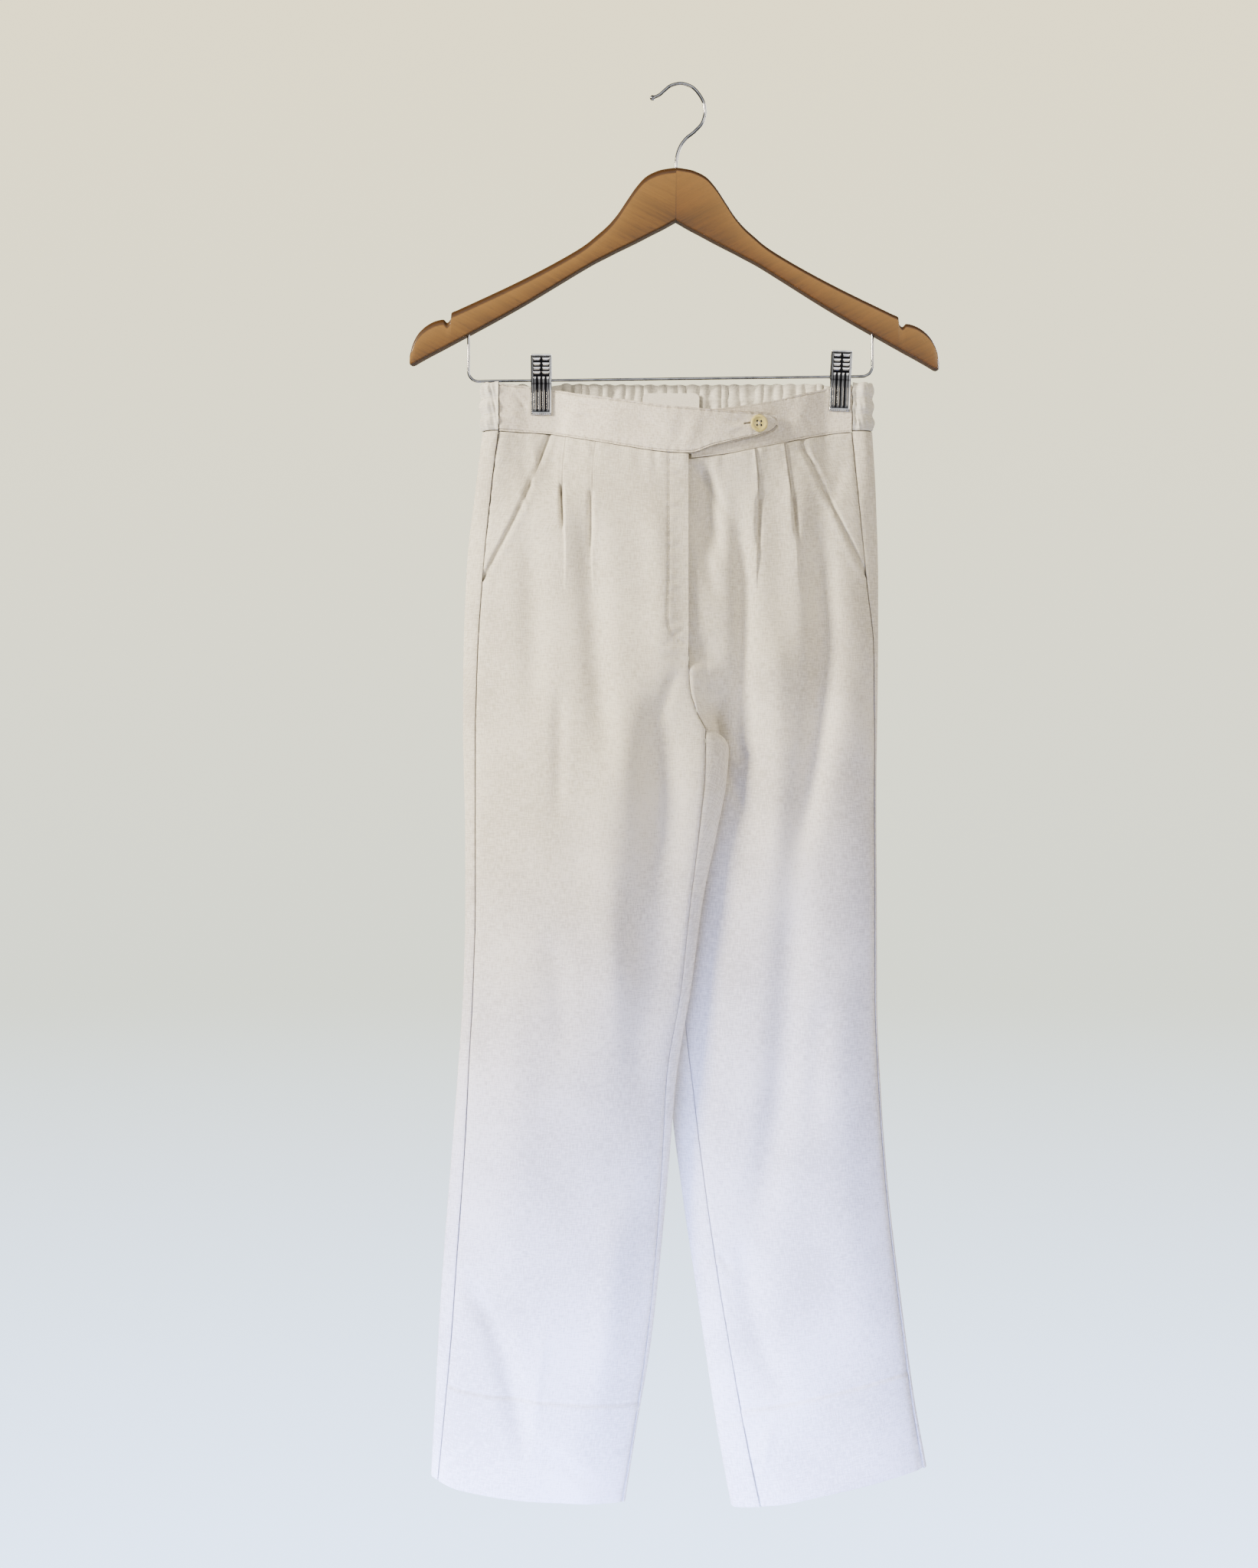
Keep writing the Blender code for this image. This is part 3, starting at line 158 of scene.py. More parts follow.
# The fly edge, then the crotch seam, then the right leg's inseam, as seen on the right front.
RIGHT_FRONT_EDGE = table(
    "z x",
    (-290, 6.1), (-483, 6.1), (-495.6, 6.4), (-510.2, 7.5), (-519.8, 10.3), (-530, 14), (-536.3, 17.5),
    (-542.5, 20.3), (-572.5, 20.1), (-617, 16.2), (-690, 7.4), (-757, 0.2), (-830, -11.8), (-900, -15.6),
    (-975, -20.5), (-1050, -28.2), (-1120, -38.5), (-1195, -51.4),
)

# The seam that the two backs share: down the seat, then forward under the fork.
SEAT_SEAM = table(
    "level x y z",
    (-290, -2, 9.8, -290.8), (-350, -1, 20, -350), (-440, 4, 26.8, -440), (-475, 7, 27, -476),
    (-505, 11, 23.5, -508), (-532, 16, 13, -537), (-556.5, 22.5, -2, -556.5), (-564, 21.8, -12, -550),
    (-572, 20.3, -21, -542.5),
)
LEFT_FORK = (0.0240, 0.0060)

# Slanted pocket mouths: the cut edge of each front.
RIGHT_POCKET = table("z x", (-290, -108.5), (-347, -129.9), (-418.6, -166.2))
LEFT_POCKET = table("z x", (-296, 99.5), (-338, 117.9), (-414.5, 155.6))

# The curved row of stitches that holds the fly's facing.
FLY_STITCHING = table(
    "z x",
    (-314, -10.3), (-410, -10.6), (-448, -11.8), (-460, -9.8), (-468, -3), (-471.5, 3.8),
)

# Pleat lines. Below the stitching they run on as soft lines of the cloth.
RIGHT_PLEATS = table(
    "z outer inner",
    (-291.5, -95.7, -69.8), (-331, -99, -73.7), (-396, -96.5, -74.2), (-480, -98.5, -69), (-600, -100, -57),
    (-830, -106, -56), (-1040, -113, -68), (-1190, -130, -90),
)
LEFT_PLEATS = table(
    "z outer inner",
    (-291.5, 84.5, 59.8), (-343, 91.2, 64), (-389, 96.2, 63.2), (-480, 101, 62.5), (-600, 103, 60),
    (-830, 105, 60), (-1040, 115, 75), (-1190, 132, 98),
)
PLEAT_HEIGHTS = table("z height", (-290, 2), (-335, 2.2), (-352, 3.6), (-430, 0))
PLEAT_STEP = 0.0012  # how far across the cloth takes to drop over a pleat's edge

# Folds and creases: a line through three heights, its half width, and how deep it runs.
FOLDS = "z0 x0 z1 x1 z2 x2 width depth"
RIGHT_FRONT_FOLDS = table(
    FOLDS,
    (-330, -79, -480, -70, -620, -56, 12, 5), (-560, -60, -700, -43, -900, -33, 18, 4.5),
    (-350, -129, -430, -124, -560, -122, 11, 3), (-340, -25, -420, -17, -520, -15, 12, -3),
    (-500, -23, -590, -20, -700, -27, 12, 3.5), (-700, -140, -850, -138, -1050, -145, 22, -3),
    (-985, -184, -1060, -148, -1170, -124, 11, 5), (-920, -50, -1030, -60, -1150, -78, 16, -3),
    (-500, -60, -650, -52, -880, -44, 20, -5.6), (-480, -10, -640, -16, -840, -26, 22, 8),
)
LEFT_FRONT_FOLDS = table(
    FOLDS,
    (-315, 16, -345, 20, -410, 30, 9, 6), (-330, 43, -430, 52, -640, 50, 9, 5.5),
    (-325, 112, -480, 118, -700, 90, 12, 8), (-640, 96, -820, 86, -1000, 56, 15, 6),
    (-420, 78, -560, 80, -720, 72, 12, -3), (-700, 135, -900, 132, -1100, 155, 24, -3),
    (-960, 48, -1030, 62, -1120, 90, 12, 4),
)
RIGHT_BACK_FOLDS = table(
    FOLDS,
    (-330, -105, -520, -98, -780, -105, 16, -6), (-380, -40, -560, -46, -820, -50, 14, -5),
    (-760, -150, -940, -140, -1120, -155, 20, -4.5),
)
LEFT_BACK_FOLDS = table(
    FOLDS,
    (-330, 98, -520, 106, -800, 96, 16, -6), (-370, 46, -600, 56, -850, 58, 14, -5),
    (-780, 135, -950, 140, -1120, 150, 20, -4.5),
)

# Finer creases that only the drawn cloth has.
RIGHT_CREASES = table(
    FOLDS,
    (-333, -100, -348, -99.6, -380, -98.5, 1.6, 2.2), (-336, -75.2, -356, -75.2, -400, -75.2, 2.2, 1.2),
    (-500, -101.3, -560, -101, -630, -102, 6, 1.2), (-490, -4, -515, -12, -545, -23, 6, 0.8),
    (-312, -120.5, -328, -122.2, -344, -124, 2, -0.6),
    (-1030, -112.1, -1095, -120.6, -1180, -128.5, 4.5, -0.4),
    (-1139, -117.8, -1152, -96, -1166, -70.9, 4, 0.8), (-700, -110, -760, -100, -830, -94, 12, 1.2),
)
LEFT_CREASES = table(
    FOLDS,
    (-342, 65, -356, 64, -396, 63, 2.2, 1.4), (-342, 92.5, -356, 93.8, -390, 96, 2, 1.4),
    (-320, 12, -345, 26, -370, 42, 5, 1.2), (-350, 9, -390, 18, -440, 30, 6, 1.2),
    (-550, 24, -580, 42, -620, 55, 6, 1), (-978, 29.7, -987, 37, -997, 43.6, 4, 1),
    (-760, 118, -820, 112, -900, 108, 11, 1.2), (-1120, 76, -1145, 70, -1170, 68, 5, -0.8),
)


LINES = "x0 z0 x1 z1 width depth"
RIGHT_LINES = table(
    LINES,
    (-14, -472, 4, -457, 2, 0.6), (-12, -468, 3, -464, 1.8, -0.4), (-12, -476, 5, -475, 2.2, -0.5),
    (-16, -480, 4, -486, 2.8, 0.6), (-124, -306, -118, -326, 2.2, -1), (-133, -318, -124, -340, 2.6, 1),
    (-138, -335, -129, -356, 2.4, -0.8), (-119, -1149, -98, -1156, 2.2, 1.2),
    (-100, -1156, -74, -1170, 2.4, 1.4), (-15, -990, -42, -1030, 6, 1),
)
LEFT_LINES = table(
    LINES,
    (100, -305, 113, -325, 3, 1.4), (106, -305, 122, -333, 2.6, -1), (135, -320, 127, -350, 5, 1.2),
    (48, -1182, 56, -1191, 1.8, 1.4), (46, -1176, 58, -1186, 1.6, -1), (32, -1000, 42, -1012, 2.4, 0.9),
    (168, -510, 163, -522, 2, -1), (45, -550, 64, -575, 4.5, 1.1),
)
BAND_LINES = table(
    LINES,
    (-98, -270, -78, -283, 2, 1), (-88, -276, -70, -280, 1.6, -0.8), (-82, -270, -62, -276, 1.8, 0.9),
    (-103, -283, -86, -292, 2.2, 0.8), (-139, -260, -130, -272, 2, 0.9),
    (-142, -278, -129, -285, 2.2, -0.7), (-35, -283, -12, -299, 5, 0.8), (38, -286, 52, -288, 2.2, 0.7),
    (38, -295, 51, -290, 2.2, -0.7), (102, -280, 112, -288, 2.2, 0.8),
)


# ---------------------------------------------------------------- curves and blends


def follow(source: Table, column: str, at: Array | float) -> Array:
    """Reads a column as a smooth curve over the table's first column, level beyond both ends.

    Args:
        source: the table.
        column: the column to read.
        at: places in the first column's measure.

    Returns:
        The column's value at each place.
    """
    knots = next(iter(source.values()))
    values = source[column]
    gaps = np.diff(knots)
    slopes = np.diff(values) / gaps
    before, after = slopes[:-1], slopes[1:]
    same_way = before * after > 0
    tangents = np.concatenate([slopes[:1], np.zeros(len(before)), slopes[-1:]])
    tangents[1:-1][same_way] = 2 * before[same_way] * after[same_way] / (before + after)[same_way]
    at = np.clip(np.asarray(at, float), knots[0], knots[-1])
    i = np.clip(np.searchsorted(knots, at, side="right") - 1, 0, len(gaps) - 1)
    t = (at - knots[i]) / gaps[i]
    start = values[i] * (1 + 2 * t) * (1 - t) ** 2 + tangents[i] * gaps[i] * t * (1 - t) ** 2
    end = values[i + 1] * (3 - 2 * t) * t**2 - tangents[i + 1] * gaps[i] * (1 - t) * t**2
    return start + end


def ease(start: float, end: float, at: Array | float) -> Array:
    """0 before start, 1 past end, and an even turn between them. start may lie above end."""
    t = np.clip((at - start) / (end - start), 0, 1)
    return t * t * (3 - 2 * t)


def mix(a: Array | float, b: Array | float, share: Array | float) -> Array:
    """The point a share of the way from a to b."""
    return a + (b - a) * share


def spread(u: Array, *stops: tuple) -> Array:
    """Lays shares over stops.

    Args:
        u: shares from 0 to 1.
        stops: pairs of a share and the place it has.

    Returns:
        The place of each share.
    """
    place = stops[0][1]
    for (begin, _), (finish, far) in zip(stops, stops[1:]):
        place = mix(place, far, np.clip((u - begin) / (finish - begin), 0, 1))
    return place


def line_relief(lines: Table, x: Array, z: Array) -> Array:
    """How far short straight creases push the cloth back at (x, z). Each dies away past its ends.

    Args:
        lines: the creases.
        x: places across.
        z: their heights.

    Returns:
        The relief at each place.
    """
    total = np.zeros_like(x)
    for x0, z0, x1, z1, width, depth in zip(*lines.values()):
        length = math.hypot(x1 - x0, z1 - z0)
        along = ((x - x0) * (x1 - x0) + (z - z0) * (z1 - z0)) / length**2
        across = ((x - x0) * (z1 - z0) - (z - z0) * (x1 - x0)) / length
        total += depth * bump(across, width) * ease(-0.25, 0.25, along) * ease(1.25, 0.75, along)
    return total


def bump(at: Array, width: float) -> Array:
    """A soft ridge of height 1, width wide to each side of 0."""
    return np.exp(-((at / width) ** 2))


def uneven(along: Array, wave: float, seed: float) -> Array:
    """Ripples that are never quite alike.

    Args:
        along: distance along them.
        wave: their usual length.
        seed: where their pattern starts.

    Returns:
        Heights from about -1 to 1.
    """
    turn = 2 * math.pi * along / wave + seed
    sway = 1.4 * np.sin(turn * 0.23 + 2 * seed) + 0.6 * np.sin(turn * 0.61 - seed)
    return np.sin(turn + sway) * (0.65 + 0.35 * np.sin(turn * 0.37 + 3 * seed))


# ---------------------------------------------------------------- the form of the trousers

LEG_LEVELS = [-0.575, -0.617, -0.660, -0.705, -0.757, -0.830, -0.905, -0.980, -1.050, -1.115, HEM_Z]
TURN_UP_BAND = (-1.084, -1.110)  # rows lie closer here, for the hems' stitching
SEAT_LEVELS = [WAIST_Z, -0.305, -0.325, -0.350, -0.395, -0.440, -0.475, -0.505, -0.532, FORK_Z]
POCKET_LEVELS = [WAIST_Z, -0.305, -0.320, -0.335, -0.350, -0.370, -0.395]
FLY_LEVELS = [-0.440, -0.475, -0.4956, -0.5102, -0.5198, -0.5300, CROTCH_Z]


def fine(levels: Sequence[float], upper: float = 0.0022, lower: float = 0.0042) -> Array:
    """Adds rows between a solid's own levels.

    Args:
        levels: heights from the waist down.
        upper: most that two rows above the fork may be apart.
        lower: the same below it.

    Returns:
        The levels with the new ones among them.
    """
    rows = [np.array(levels[:1])]
    for top, bottom in zip(levels, levels[1:]):
        count = math.ceil((top - bottom) / (upper if bottom > FORK_Z else lower) - 1e-9)
        rows.append(np.linspace(top, bottom, count + 1)[1:])
    rows = np.concatenate(rows)
    near_hem = np.linspace(*TURN_UP_BAND, 23)
    outside = (rows > near_hem[0] + 0.0008) | (rows < near_hem[-1] - 0.0008)
    return np.sort(np.concatenate([rows[outside], near_hem]))[::-1]


@dataclass(frozen=True, eq=False)
class Side:
    """One side of the trousers: its tables, and which way along X its seams run."""

    name: str
    inward: int  # the way along X from the side towards the centre
    leg: Table
    pleats: Table
    pocket: Table
    front_folds: Table
    back_folds: Table
    creases: Table
    lines: Table
    band: Table
    hem: Table
    front_levels: Array  # heights of its panels' rows, from the waist down
    back_levels: Array
    pocket_gape: float  # how far its pocket mouth stands open
    seed: float  # where its uneven patterns start


RIGHT = Side(
    "right", 1, RIGHT_LEG, RIGHT_PLEATS, RIGHT_POCKET, RIGHT_FRONT_FOLDS, RIGHT_BACK_FOLDS, RIGHT_CREASES,
    RIGHT_LINES, RIGHT_BAND_EDGES, RIGHT_HEM,
    fine(POCKET_LEVELS + [RIGHT_POCKET["z"][0]] + FLY_LEVELS + LEG_LEVELS),
    fine(SEAT_LEVELS + [-0.564, -0.572, -0.600, -0.635, -0.665] + LEG_LEVELS[3:], 0.0035),
    0.0010, 0.7,
)
LEFT = Side(
    "left", -1, LEFT_LEG, LEFT_PLEATS, LEFT_POCKET, LEFT_FRONT_FOLDS, LEFT_BACK_FOLDS, LEFT_CREASES,
    LEFT_LINES, LEFT_BAND_EDGES, LEFT_HEM,
    fine(POCKET_LEVELS + [LEFT_POCKET["z"][0]] + FLY_LEVELS + [-0.5495, FORK_Z] + LEG_LEVELS),
    fine(SEAT_LEVELS + LEG_LEVELS, 0.0035),
    0.0004, 2.1,
)

PLEAT_STOPS = (0.22, 0.26, 0.38, 0.42)  # shares of a front's columns where its pleats step
BACK_STOPS = (0.12, 0.76)  # the side fold, and short of the inner fold
NEAR_TURN = -0.78 * math.pi  # where that last column runs on the legs
UNDERLAP = 0.016  # how far the left front runs on behind the fly
LEFT_RECESS = 0.0040  # how far behind the right front the left one lies there
TURN_UP = 0.0835  # depth of the hems
CREASE_DEPTH = 2.2  # the drawn cloth's creases and folds, as a share of what their tables say
FOLD_DEPTH = 1.3
SIDE_PUCKER = 0.00035  # along the side seam and the inseam
MOUTH_PUCKER = 0.0005
BAND_PUCKER = 0.0006  # under the waistband
FLY_PUCKER = 0.0006
FLY_DENT = 0.0006
RUMPLE = 0.0013  # the soft unevenness of a whole front
HEM_STEP = 0.0012  # the turned-up hem's second layer
HEM_DENT = 0.0013  # what its hidden stitches pull in
MOUTH_ROLL = 0.0007  # how the pocket mouth's edge stands up

# How dark a seam's shade shows, from 0 to 1.
PANEL_MARK = 0.85
BAND_MARK = 0.9  # between a band and the panels below it
BAND_END_MARK = 0.75
BAND_TOP_MARK = 0.15
# painted shade in the dents of the topstitching
STITCH_MARK = 0.3


def heights(levels: Array, v: Array) -> Array:
    """The heights that a panel's rows have at the shares v."""
    return np.interp(v * (len(levels) - 1), range(len(levels)), levels)


def turn_at(x: Array, outer: Array, inner: Array) -> Array:
    """Angle round a flattened tube, from its outer fold, of the point of its front at x."""
    return np.arccos(np.clip(1 - 2 * (x - outer) / (inner - outer), -1, 1))


def tube_y(x: Array, outer: Array, inner: Array, middle: Array, depth: Array,
           back: bool) -> Array:
    """Front or back face of a flattened tube.

    Args:
        x: places across it.
        outer: where its outer fold lies.
        inner: where its inner fold lies.
        middle: the y that its two faces part from.
        depth: how far each face bulges.
        back: whether the back face is asked for.

    Returns:
        The face's y.
    """
    across = np.clip((x - outer) / (inner - outer), 0, 1) * 2 - 1
    rise = np.sqrt(np.clip(1 - across**2, 0, 1))
    bulge = depth * rise**1.5 + FOLD_RADIUS * rise
    return middle + bulge if back else middle - bulge


def leg_y(side: Side, x: Array, z: Array, back: bool) -> Array:
    """Front or back face of one leg at (x, z).

    Args:
        side: which leg.
        x: places across.
        z: their heights.
        back: whether the back face is asked for.

    Returns:
        The face's y.
    """
    leg = side.leg
    outer, inner = follow(leg, "outer", z), follow(leg, "inner", z)
    share = ease(0, 1, (x - outer) / (inner - outer))
    middle = mix(follow(leg, "outer_y", z), follow(leg, "inner_y", z), share)
    return tube_y(x, outer, inner, middle, follow(leg, "depth", z), back)


def body_y(x: Array, z: Array, back: bool) -> Array:
    """Front or back face of the body above the legs at (x, z).

    Args:
        x: places across.
        z: their heights.
        back: whether the back face is asked for.

    Returns:
        The face's y.
    """
    right, left = follow(RIGHT_LEG, "outer", z), follow(LEFT_LEG, "outer", z)
    depth = follow(BODY, "back" if back else "front", z)
    loose = tube_y(x, right, left, 0.003, depth, back)
    waist_right, waist_left = WAIST_PLAN["x"][0], WAIST_PLAN["x"][-1]
    at_waist = waist_right + (x - right) / (left - right) * (waist_left - waist_right)
    nipped = follow(WAIST_PLAN, "back" if back else "front", at_waist)
    return mix(loose, nipped, ease(-0.375, -0.295, z))


def fold_relief(folds: Table, x: Array, z: Array) -> Array:
    """How far the folds of a table push the cloth back at (x, z).

    Args:
        folds: the table.
        x: places across.
        z: their heights.

    Returns:
        The relief at each place.
    """
    total = np.zeros_like(x)
    for z0, x0, z1, x1, z2, x2, width, depth in zip(*folds.values()):
        line = follow({"z": np.array([z2, z1, z0]), "x": np.array([x2, x1, x0])}, "x", z)
        length = z0 - z2
        along = ease(z0, z0 - 0.25 * length, z) * ease(z2, z2 + 0.4 * length, z)
        total += depth * along * bump(x - line, width)
    return total


def pleat_relief(side: Side, x: Array, z: Array) -> Array:
    """How far back the pleats set the cloth: each one's centre side lies over its outer side.

    Args:
        side: which front.
        x: places across.
        z: their heights.

    Returns:
        The relief at each place.
    """
    total = np.zeros_like(x)
    for column in ("outer", "inner"):
        past = (x - follow(side.pleats, column, z)) * side.inward
        over = ease(-PLEAT_STEP / 2, PLEAT_STEP / 2, past) * np.exp(-np.clip(past, 0, 1) / 0.014)
        tucked = 0.25 * bump(past + 1.4 * PLEAT_STEP, 0.0014)
        total -= follow(PLEAT_HEIGHTS, "height", z) * (over - tucked)
    return total


def detail_relief(side: Side, x: Array, z: Array) -> Array:
    """The fine unevenness of a front: creases, the turned-up hem, and puckers along its seams.

    Args:
        side: which front.
        x: places across it.
        z: their heights.

    Returns:
        How far back each place lies.
    """
    total = CREASE_DEPTH * fold_relief(side.creases, x, z) + line_relief(side.lines, x, z)
    above_line = z - follow(side.hem, "z", x) - TURN_UP
    total -= HEM_STEP * ease(0.0016, -0.0006, above_line) - HEM_DENT * bump(above_line, 0.0016)
    from_side = np.abs(x - follow(side.leg, "side", z))
    from_inseam = np.abs(x - follow(side.leg, "inseam", z))
    total += SIDE_PUCKER * uneven(z, 0.013, side.seed) * bump(from_side, 0.010)
    total += SIDE_PUCKER * uneven(z, 0.011, side.seed + 1) * bump(from_inseam, 0.009) * ease(-0.40, -0.56, z)
    total += RUMPLE * uneven(x + 0.25 * z, 0.075, side.seed) * uneven(z - 0.3 * x, 0.21, side.seed + 2)
    under_band = z - follow(side.band, "bottom", x)
    total += BAND_PUCKER * uneven(x, 0.016, side.seed + 3) * ease(-0.030, -0.004, under_band)
    mouth_gap = (x - follow(side.pocket, "x", z)) * side.inward
    on_mouth = ease(side.pocket["z"][0] - 0.004, side.pocket["z"][0] + 0.01, z)
    total -= MOUTH_ROLL * bump(mouth_gap - 0.0045, 0.0035) * on_mouth
    total += MOUTH_PUCKER * uneven(z, 0.0095, side.seed + 4) * bump(mouth_gap - 0.007, 0.005) * on_mouth
    return total


def fly_sewn(z: Array) -> Array:
    """1 beside the fly's stitching, 0 below its end."""
    return ease(-0.4740, -0.4680, z)


def fly_relief(x: Array, z: Array) -> Array:
    """The dent and puckers of the fly's curved stitching on the right front.

    Args:
        x: places across.
        z: their heights.

    Returns:
        The relief at each place.
    """
    across = x - follow(FLY_STITCHING, "x", z)
    dent = FLY_DENT * bump(across, 0.0014) * fly_sewn(z)
    return dent + FLY_PUCKER * uneven(z, 0.012, 0.4) * bump(across - 0.003, 0.005) * fly_sewn(z)


def front_y(side: Side, x: Array, z: Array) -> Array:
    """The outer face of a front, with its folds, pleats and creases.

    Args:
        side: which front.
        x: places across it.
        z: their heights.

    Returns:
        The face's y.
    """
    if side is RIGHT:
        apart, recess = ease(-0.430, CROTCH_Z, z), fly_relief(x, z)
    else:
        apart = ease(-0.450, -0.565, z)
        recess = LEFT_RECESS * ease(0.106, 0.078, x) * ease(-0.4956, -0.450, z)
    smooth = mix(body_y(x, z, False), leg_y(side, x, z, False), apart)
    folded = FOLD_DEPTH * fold_relief(side.front_folds, x, z) + pleat_relief(side, x, z)
    return smooth + folded + detail_relief(side, x, z) + recess


def right_front_edge(z: Array) -> tuple[Array, Array]:
    """(x, y) of the fly edge, the crotch seam and the right inseam."""
    x = follow(RIGHT_FRONT_EDGE, "x", z)
    return x, front_y(RIGHT, x, z)


def left_front_edge(z: Array) -> tuple[Array, Array]:
    """(x, y) behind the fly, along the crotch seam, then behind the right leg down the left inseam.

    Args:
        z: heights.

    Returns:
        The edge's x and y.
    """
    x, y = right_front_edge(z)
    x = x - UNDERLAP * ease(-0.475, -0.440, z)
    y = mix(y, front_y(LEFT, x, z), ease(-0.4956, -0.470, z)) + 0.0042 * ease(-0.525, CROTCH_Z, z)
    inseam = follow(LEFT_LEG, "inseam", z)
    turning = np.clip((z - CROTCH_Z) / (FORK_Z - CROTCH_Z), 0, 1)
    settled = ease(FORK_Z, -0.600, z)
    x = mix(mix(x, LEFT_FORK[0], turning**0.5), inseam, settled)
    y = mix(mix(y, LEFT_FORK[1], turning**0.5), front_y(LEFT, inseam, z), settled)
    return x, y


def ends_to_band_and_hem(level: Array, top: Array, hem: Array | float) -> Array:
    """Heights of a row: its level, bent to the band's edge above and to the hem below."""
    to_band = (top - BAND_SEAM_GAP - WAIST_Z) * ease(-0.430, WAIST_Z, level)
    return level + to_band + (hem - HEM_Z) * ease(-0.900, HEM_Z, level)


def ring(side: Side, turn: Array, z: Array, legs: bool) -> Array:
    """A point round one leg, or round the whole body.

    Args:
        side: which leg, or the side that the turn starts from.
        turn: angle from the side fold, more than 0 on the front.
        z: height.
        legs: whether it runs round the leg alone.

    Returns:
        x and y, stacked.
    """
    outer = follow(side.leg, "outer", z)
    other = follow((LEFT if side is RIGHT else RIGHT).leg, "outer", z)
    inner = follow(side.leg, "inner", z) if legs else other
    x = mix(outer, inner, (1 - np.cos(turn)) / 2)
    faces = [leg_y(side, x, z, back) if legs else body_y(x, z, back) for back in (False, True)]
    return np.array([x, np.where(np.sin(turn) > 0, *faces)])


def back_edge(side: Side, level: Array) -> Points:
    """The inner edge of a back: down the seat seam and under the fork, then down the inseam.

    Args:
        side: which back.
        level: heights of its rows.

    Returns:
        x, y and z of the edge at each row.
    """
    seam = [follow(SEAT_SEAM, axis, level) for axis in "xyz"]
    seam[0] = seam[0] - side.inward * SEAM_GAP / 2
    if side is RIGHT:
        z = np.interp(level, [-0.665, -0.635, -0.600, -0.572], [*LEG_LEVELS[2::-1], CROTCH_Z])
        z = np.where(level < -0.665, level, z)
        turned = ease(-0.5719, -0.5721, level)
        leg = (*right_front_edge(z), z)
    else:
        turned = ease(-0.540, FORK_Z, level)
        leg = (*left_front_edge(np.minimum(level, FORK_Z)), level)
    return tuple(mix(a, b, turned) for a, b in zip(seam, leg))


# ---------------------------------------------------------------- meshes


def finish_mesh(name: str, bm: BMesh, sharp: float = 50.0, outward: bool = True) -> Mesh:
    """Makes the bmesh a smooth-shaded mesh.

    Args:
        name: the mesh's name.
        bm: what it holds, freed here.
        sharp: angle in degrees from which an edge stays sharp.
        outward: whether its faces are turned out first.

    Returns:
        The mesh.
    """
    if outward:
        bmesh.ops.recalc_face_normals(bm, faces=bm.faces)
    mesh = bpy.data.meshes.new(name)
    bm.to_mesh(mesh)
    bm.free()
    mesh.shade_smooth()
    mesh.set_sharp_from_angle(angle=math.radians(sharp))
    return mesh


def stand(name: str, data: bpy.types.ID) -> Object:
    """Makes an object of some data, in the scene.

    Args:
        name: the object's name.
        data: its mesh, light or camera.

    Returns:
        The object.
    """
    item = bpy.data.objects.new(name, data)
    bpy.context.scene.collection.objects.link(item)
    return item


def grid_normals(face: Array) -> Array:
    """Unit normals of a bent grid of points, from the faces round each point.

    Args:
        face: the grid.

    Returns:
        The normals.
    """
    across = face[:-1, 1:] - face[1:, :-1]
    down = face[1:, 1:] - face[:-1, :-1]
    flat = np.cross(down, across)
    normals = np.zeros_like(face)
    for rows in (slice(0, -1), slice(1, None)):
        for columns in (slice(0, -1), slice(1, None)):
            normals[rows, columns] += flat
    return normals / np.linalg.norm(normals, axis=-1, keepdims=True)


def cloth_coordinates(face: Array) -> Array:
    """Metres along the threads at each point of a bent grid: across from its middle column, and down.

    Args:
        face: the grid.

    Returns:
        Two coordinates for each point.
    """
    steps = np.linalg.norm(np.diff(face, axis=1), axis=-1)
    across = np.concatenate([np.zeros((len(face), 1)), np.cumsum(steps, axis=1)], axis=1)
    across -= across[:, face.shape[1] // 2, None]
    drops = np.linalg.norm(np.diff(face[:, face.shape[1] // 2], axis=0), axis=-1)
    down = np.concatenate([[0.0], np.cumsum(drops)])
    return np.stack([across, np.broadcast_to(-down[:, None], across.shape)], axis=-1)


def set_attributes(mesh: Mesh, uv: Array, values: Marks) -> None:
    """Gives a grid's mesh its thread coordinates and its shading attributes.

    Args:
        mesh: a mesh whose points carry the layer spot, their place in the grid.
        uv: two coordinates for each place.
        values: one number for each place, by the attribute's name.
    """
    spots = np.empty(len(mesh.vertices), np.int32)
    mesh.attributes["spot"].data.foreach_get("value", spots)
    corners = np.empty(len(mesh.loops), np.int32)
    mesh.loops.foreach_get("vertex_index", corners)
    mesh.uv_layers.new(name="threads").data.foreach_set("uv", uv.reshape(-1, 2)[spots[corners]].ravel())
    for name, value in values.items():
        found = mesh.attributes.new(name, "FLOAT", "POINT")
        found.data.foreach_set("value", np.ascontiguousarray(value.reshape(-1)[spots], np.float32))
    mesh.attributes.remove(mesh.attributes["spot"])


def numbered_grid(columns: int, rows: int) -> tuple[BMesh, bmesh.types.BMLayerItem]:
    """Makes a flat grid whose points carry their place in it, counted across and then down.

    Args:
        columns: faces across.
        rows: faces down.

    Returns:
        The grid, and its layer of places.
    """
    bm = bmesh.new()
    bmesh.ops.create_grid(bm, x_segments=columns, y_segments=rows, size=0.5)
    spot = bm.verts.layers.int.new("spot")
    for vert in bm.verts:
        column, row = round((vert.co.x + 0.5) * columns), round((0.5 - vert.co.y) * rows)
        vert[spot] = row * (columns + 1) + column
    return bm, spot


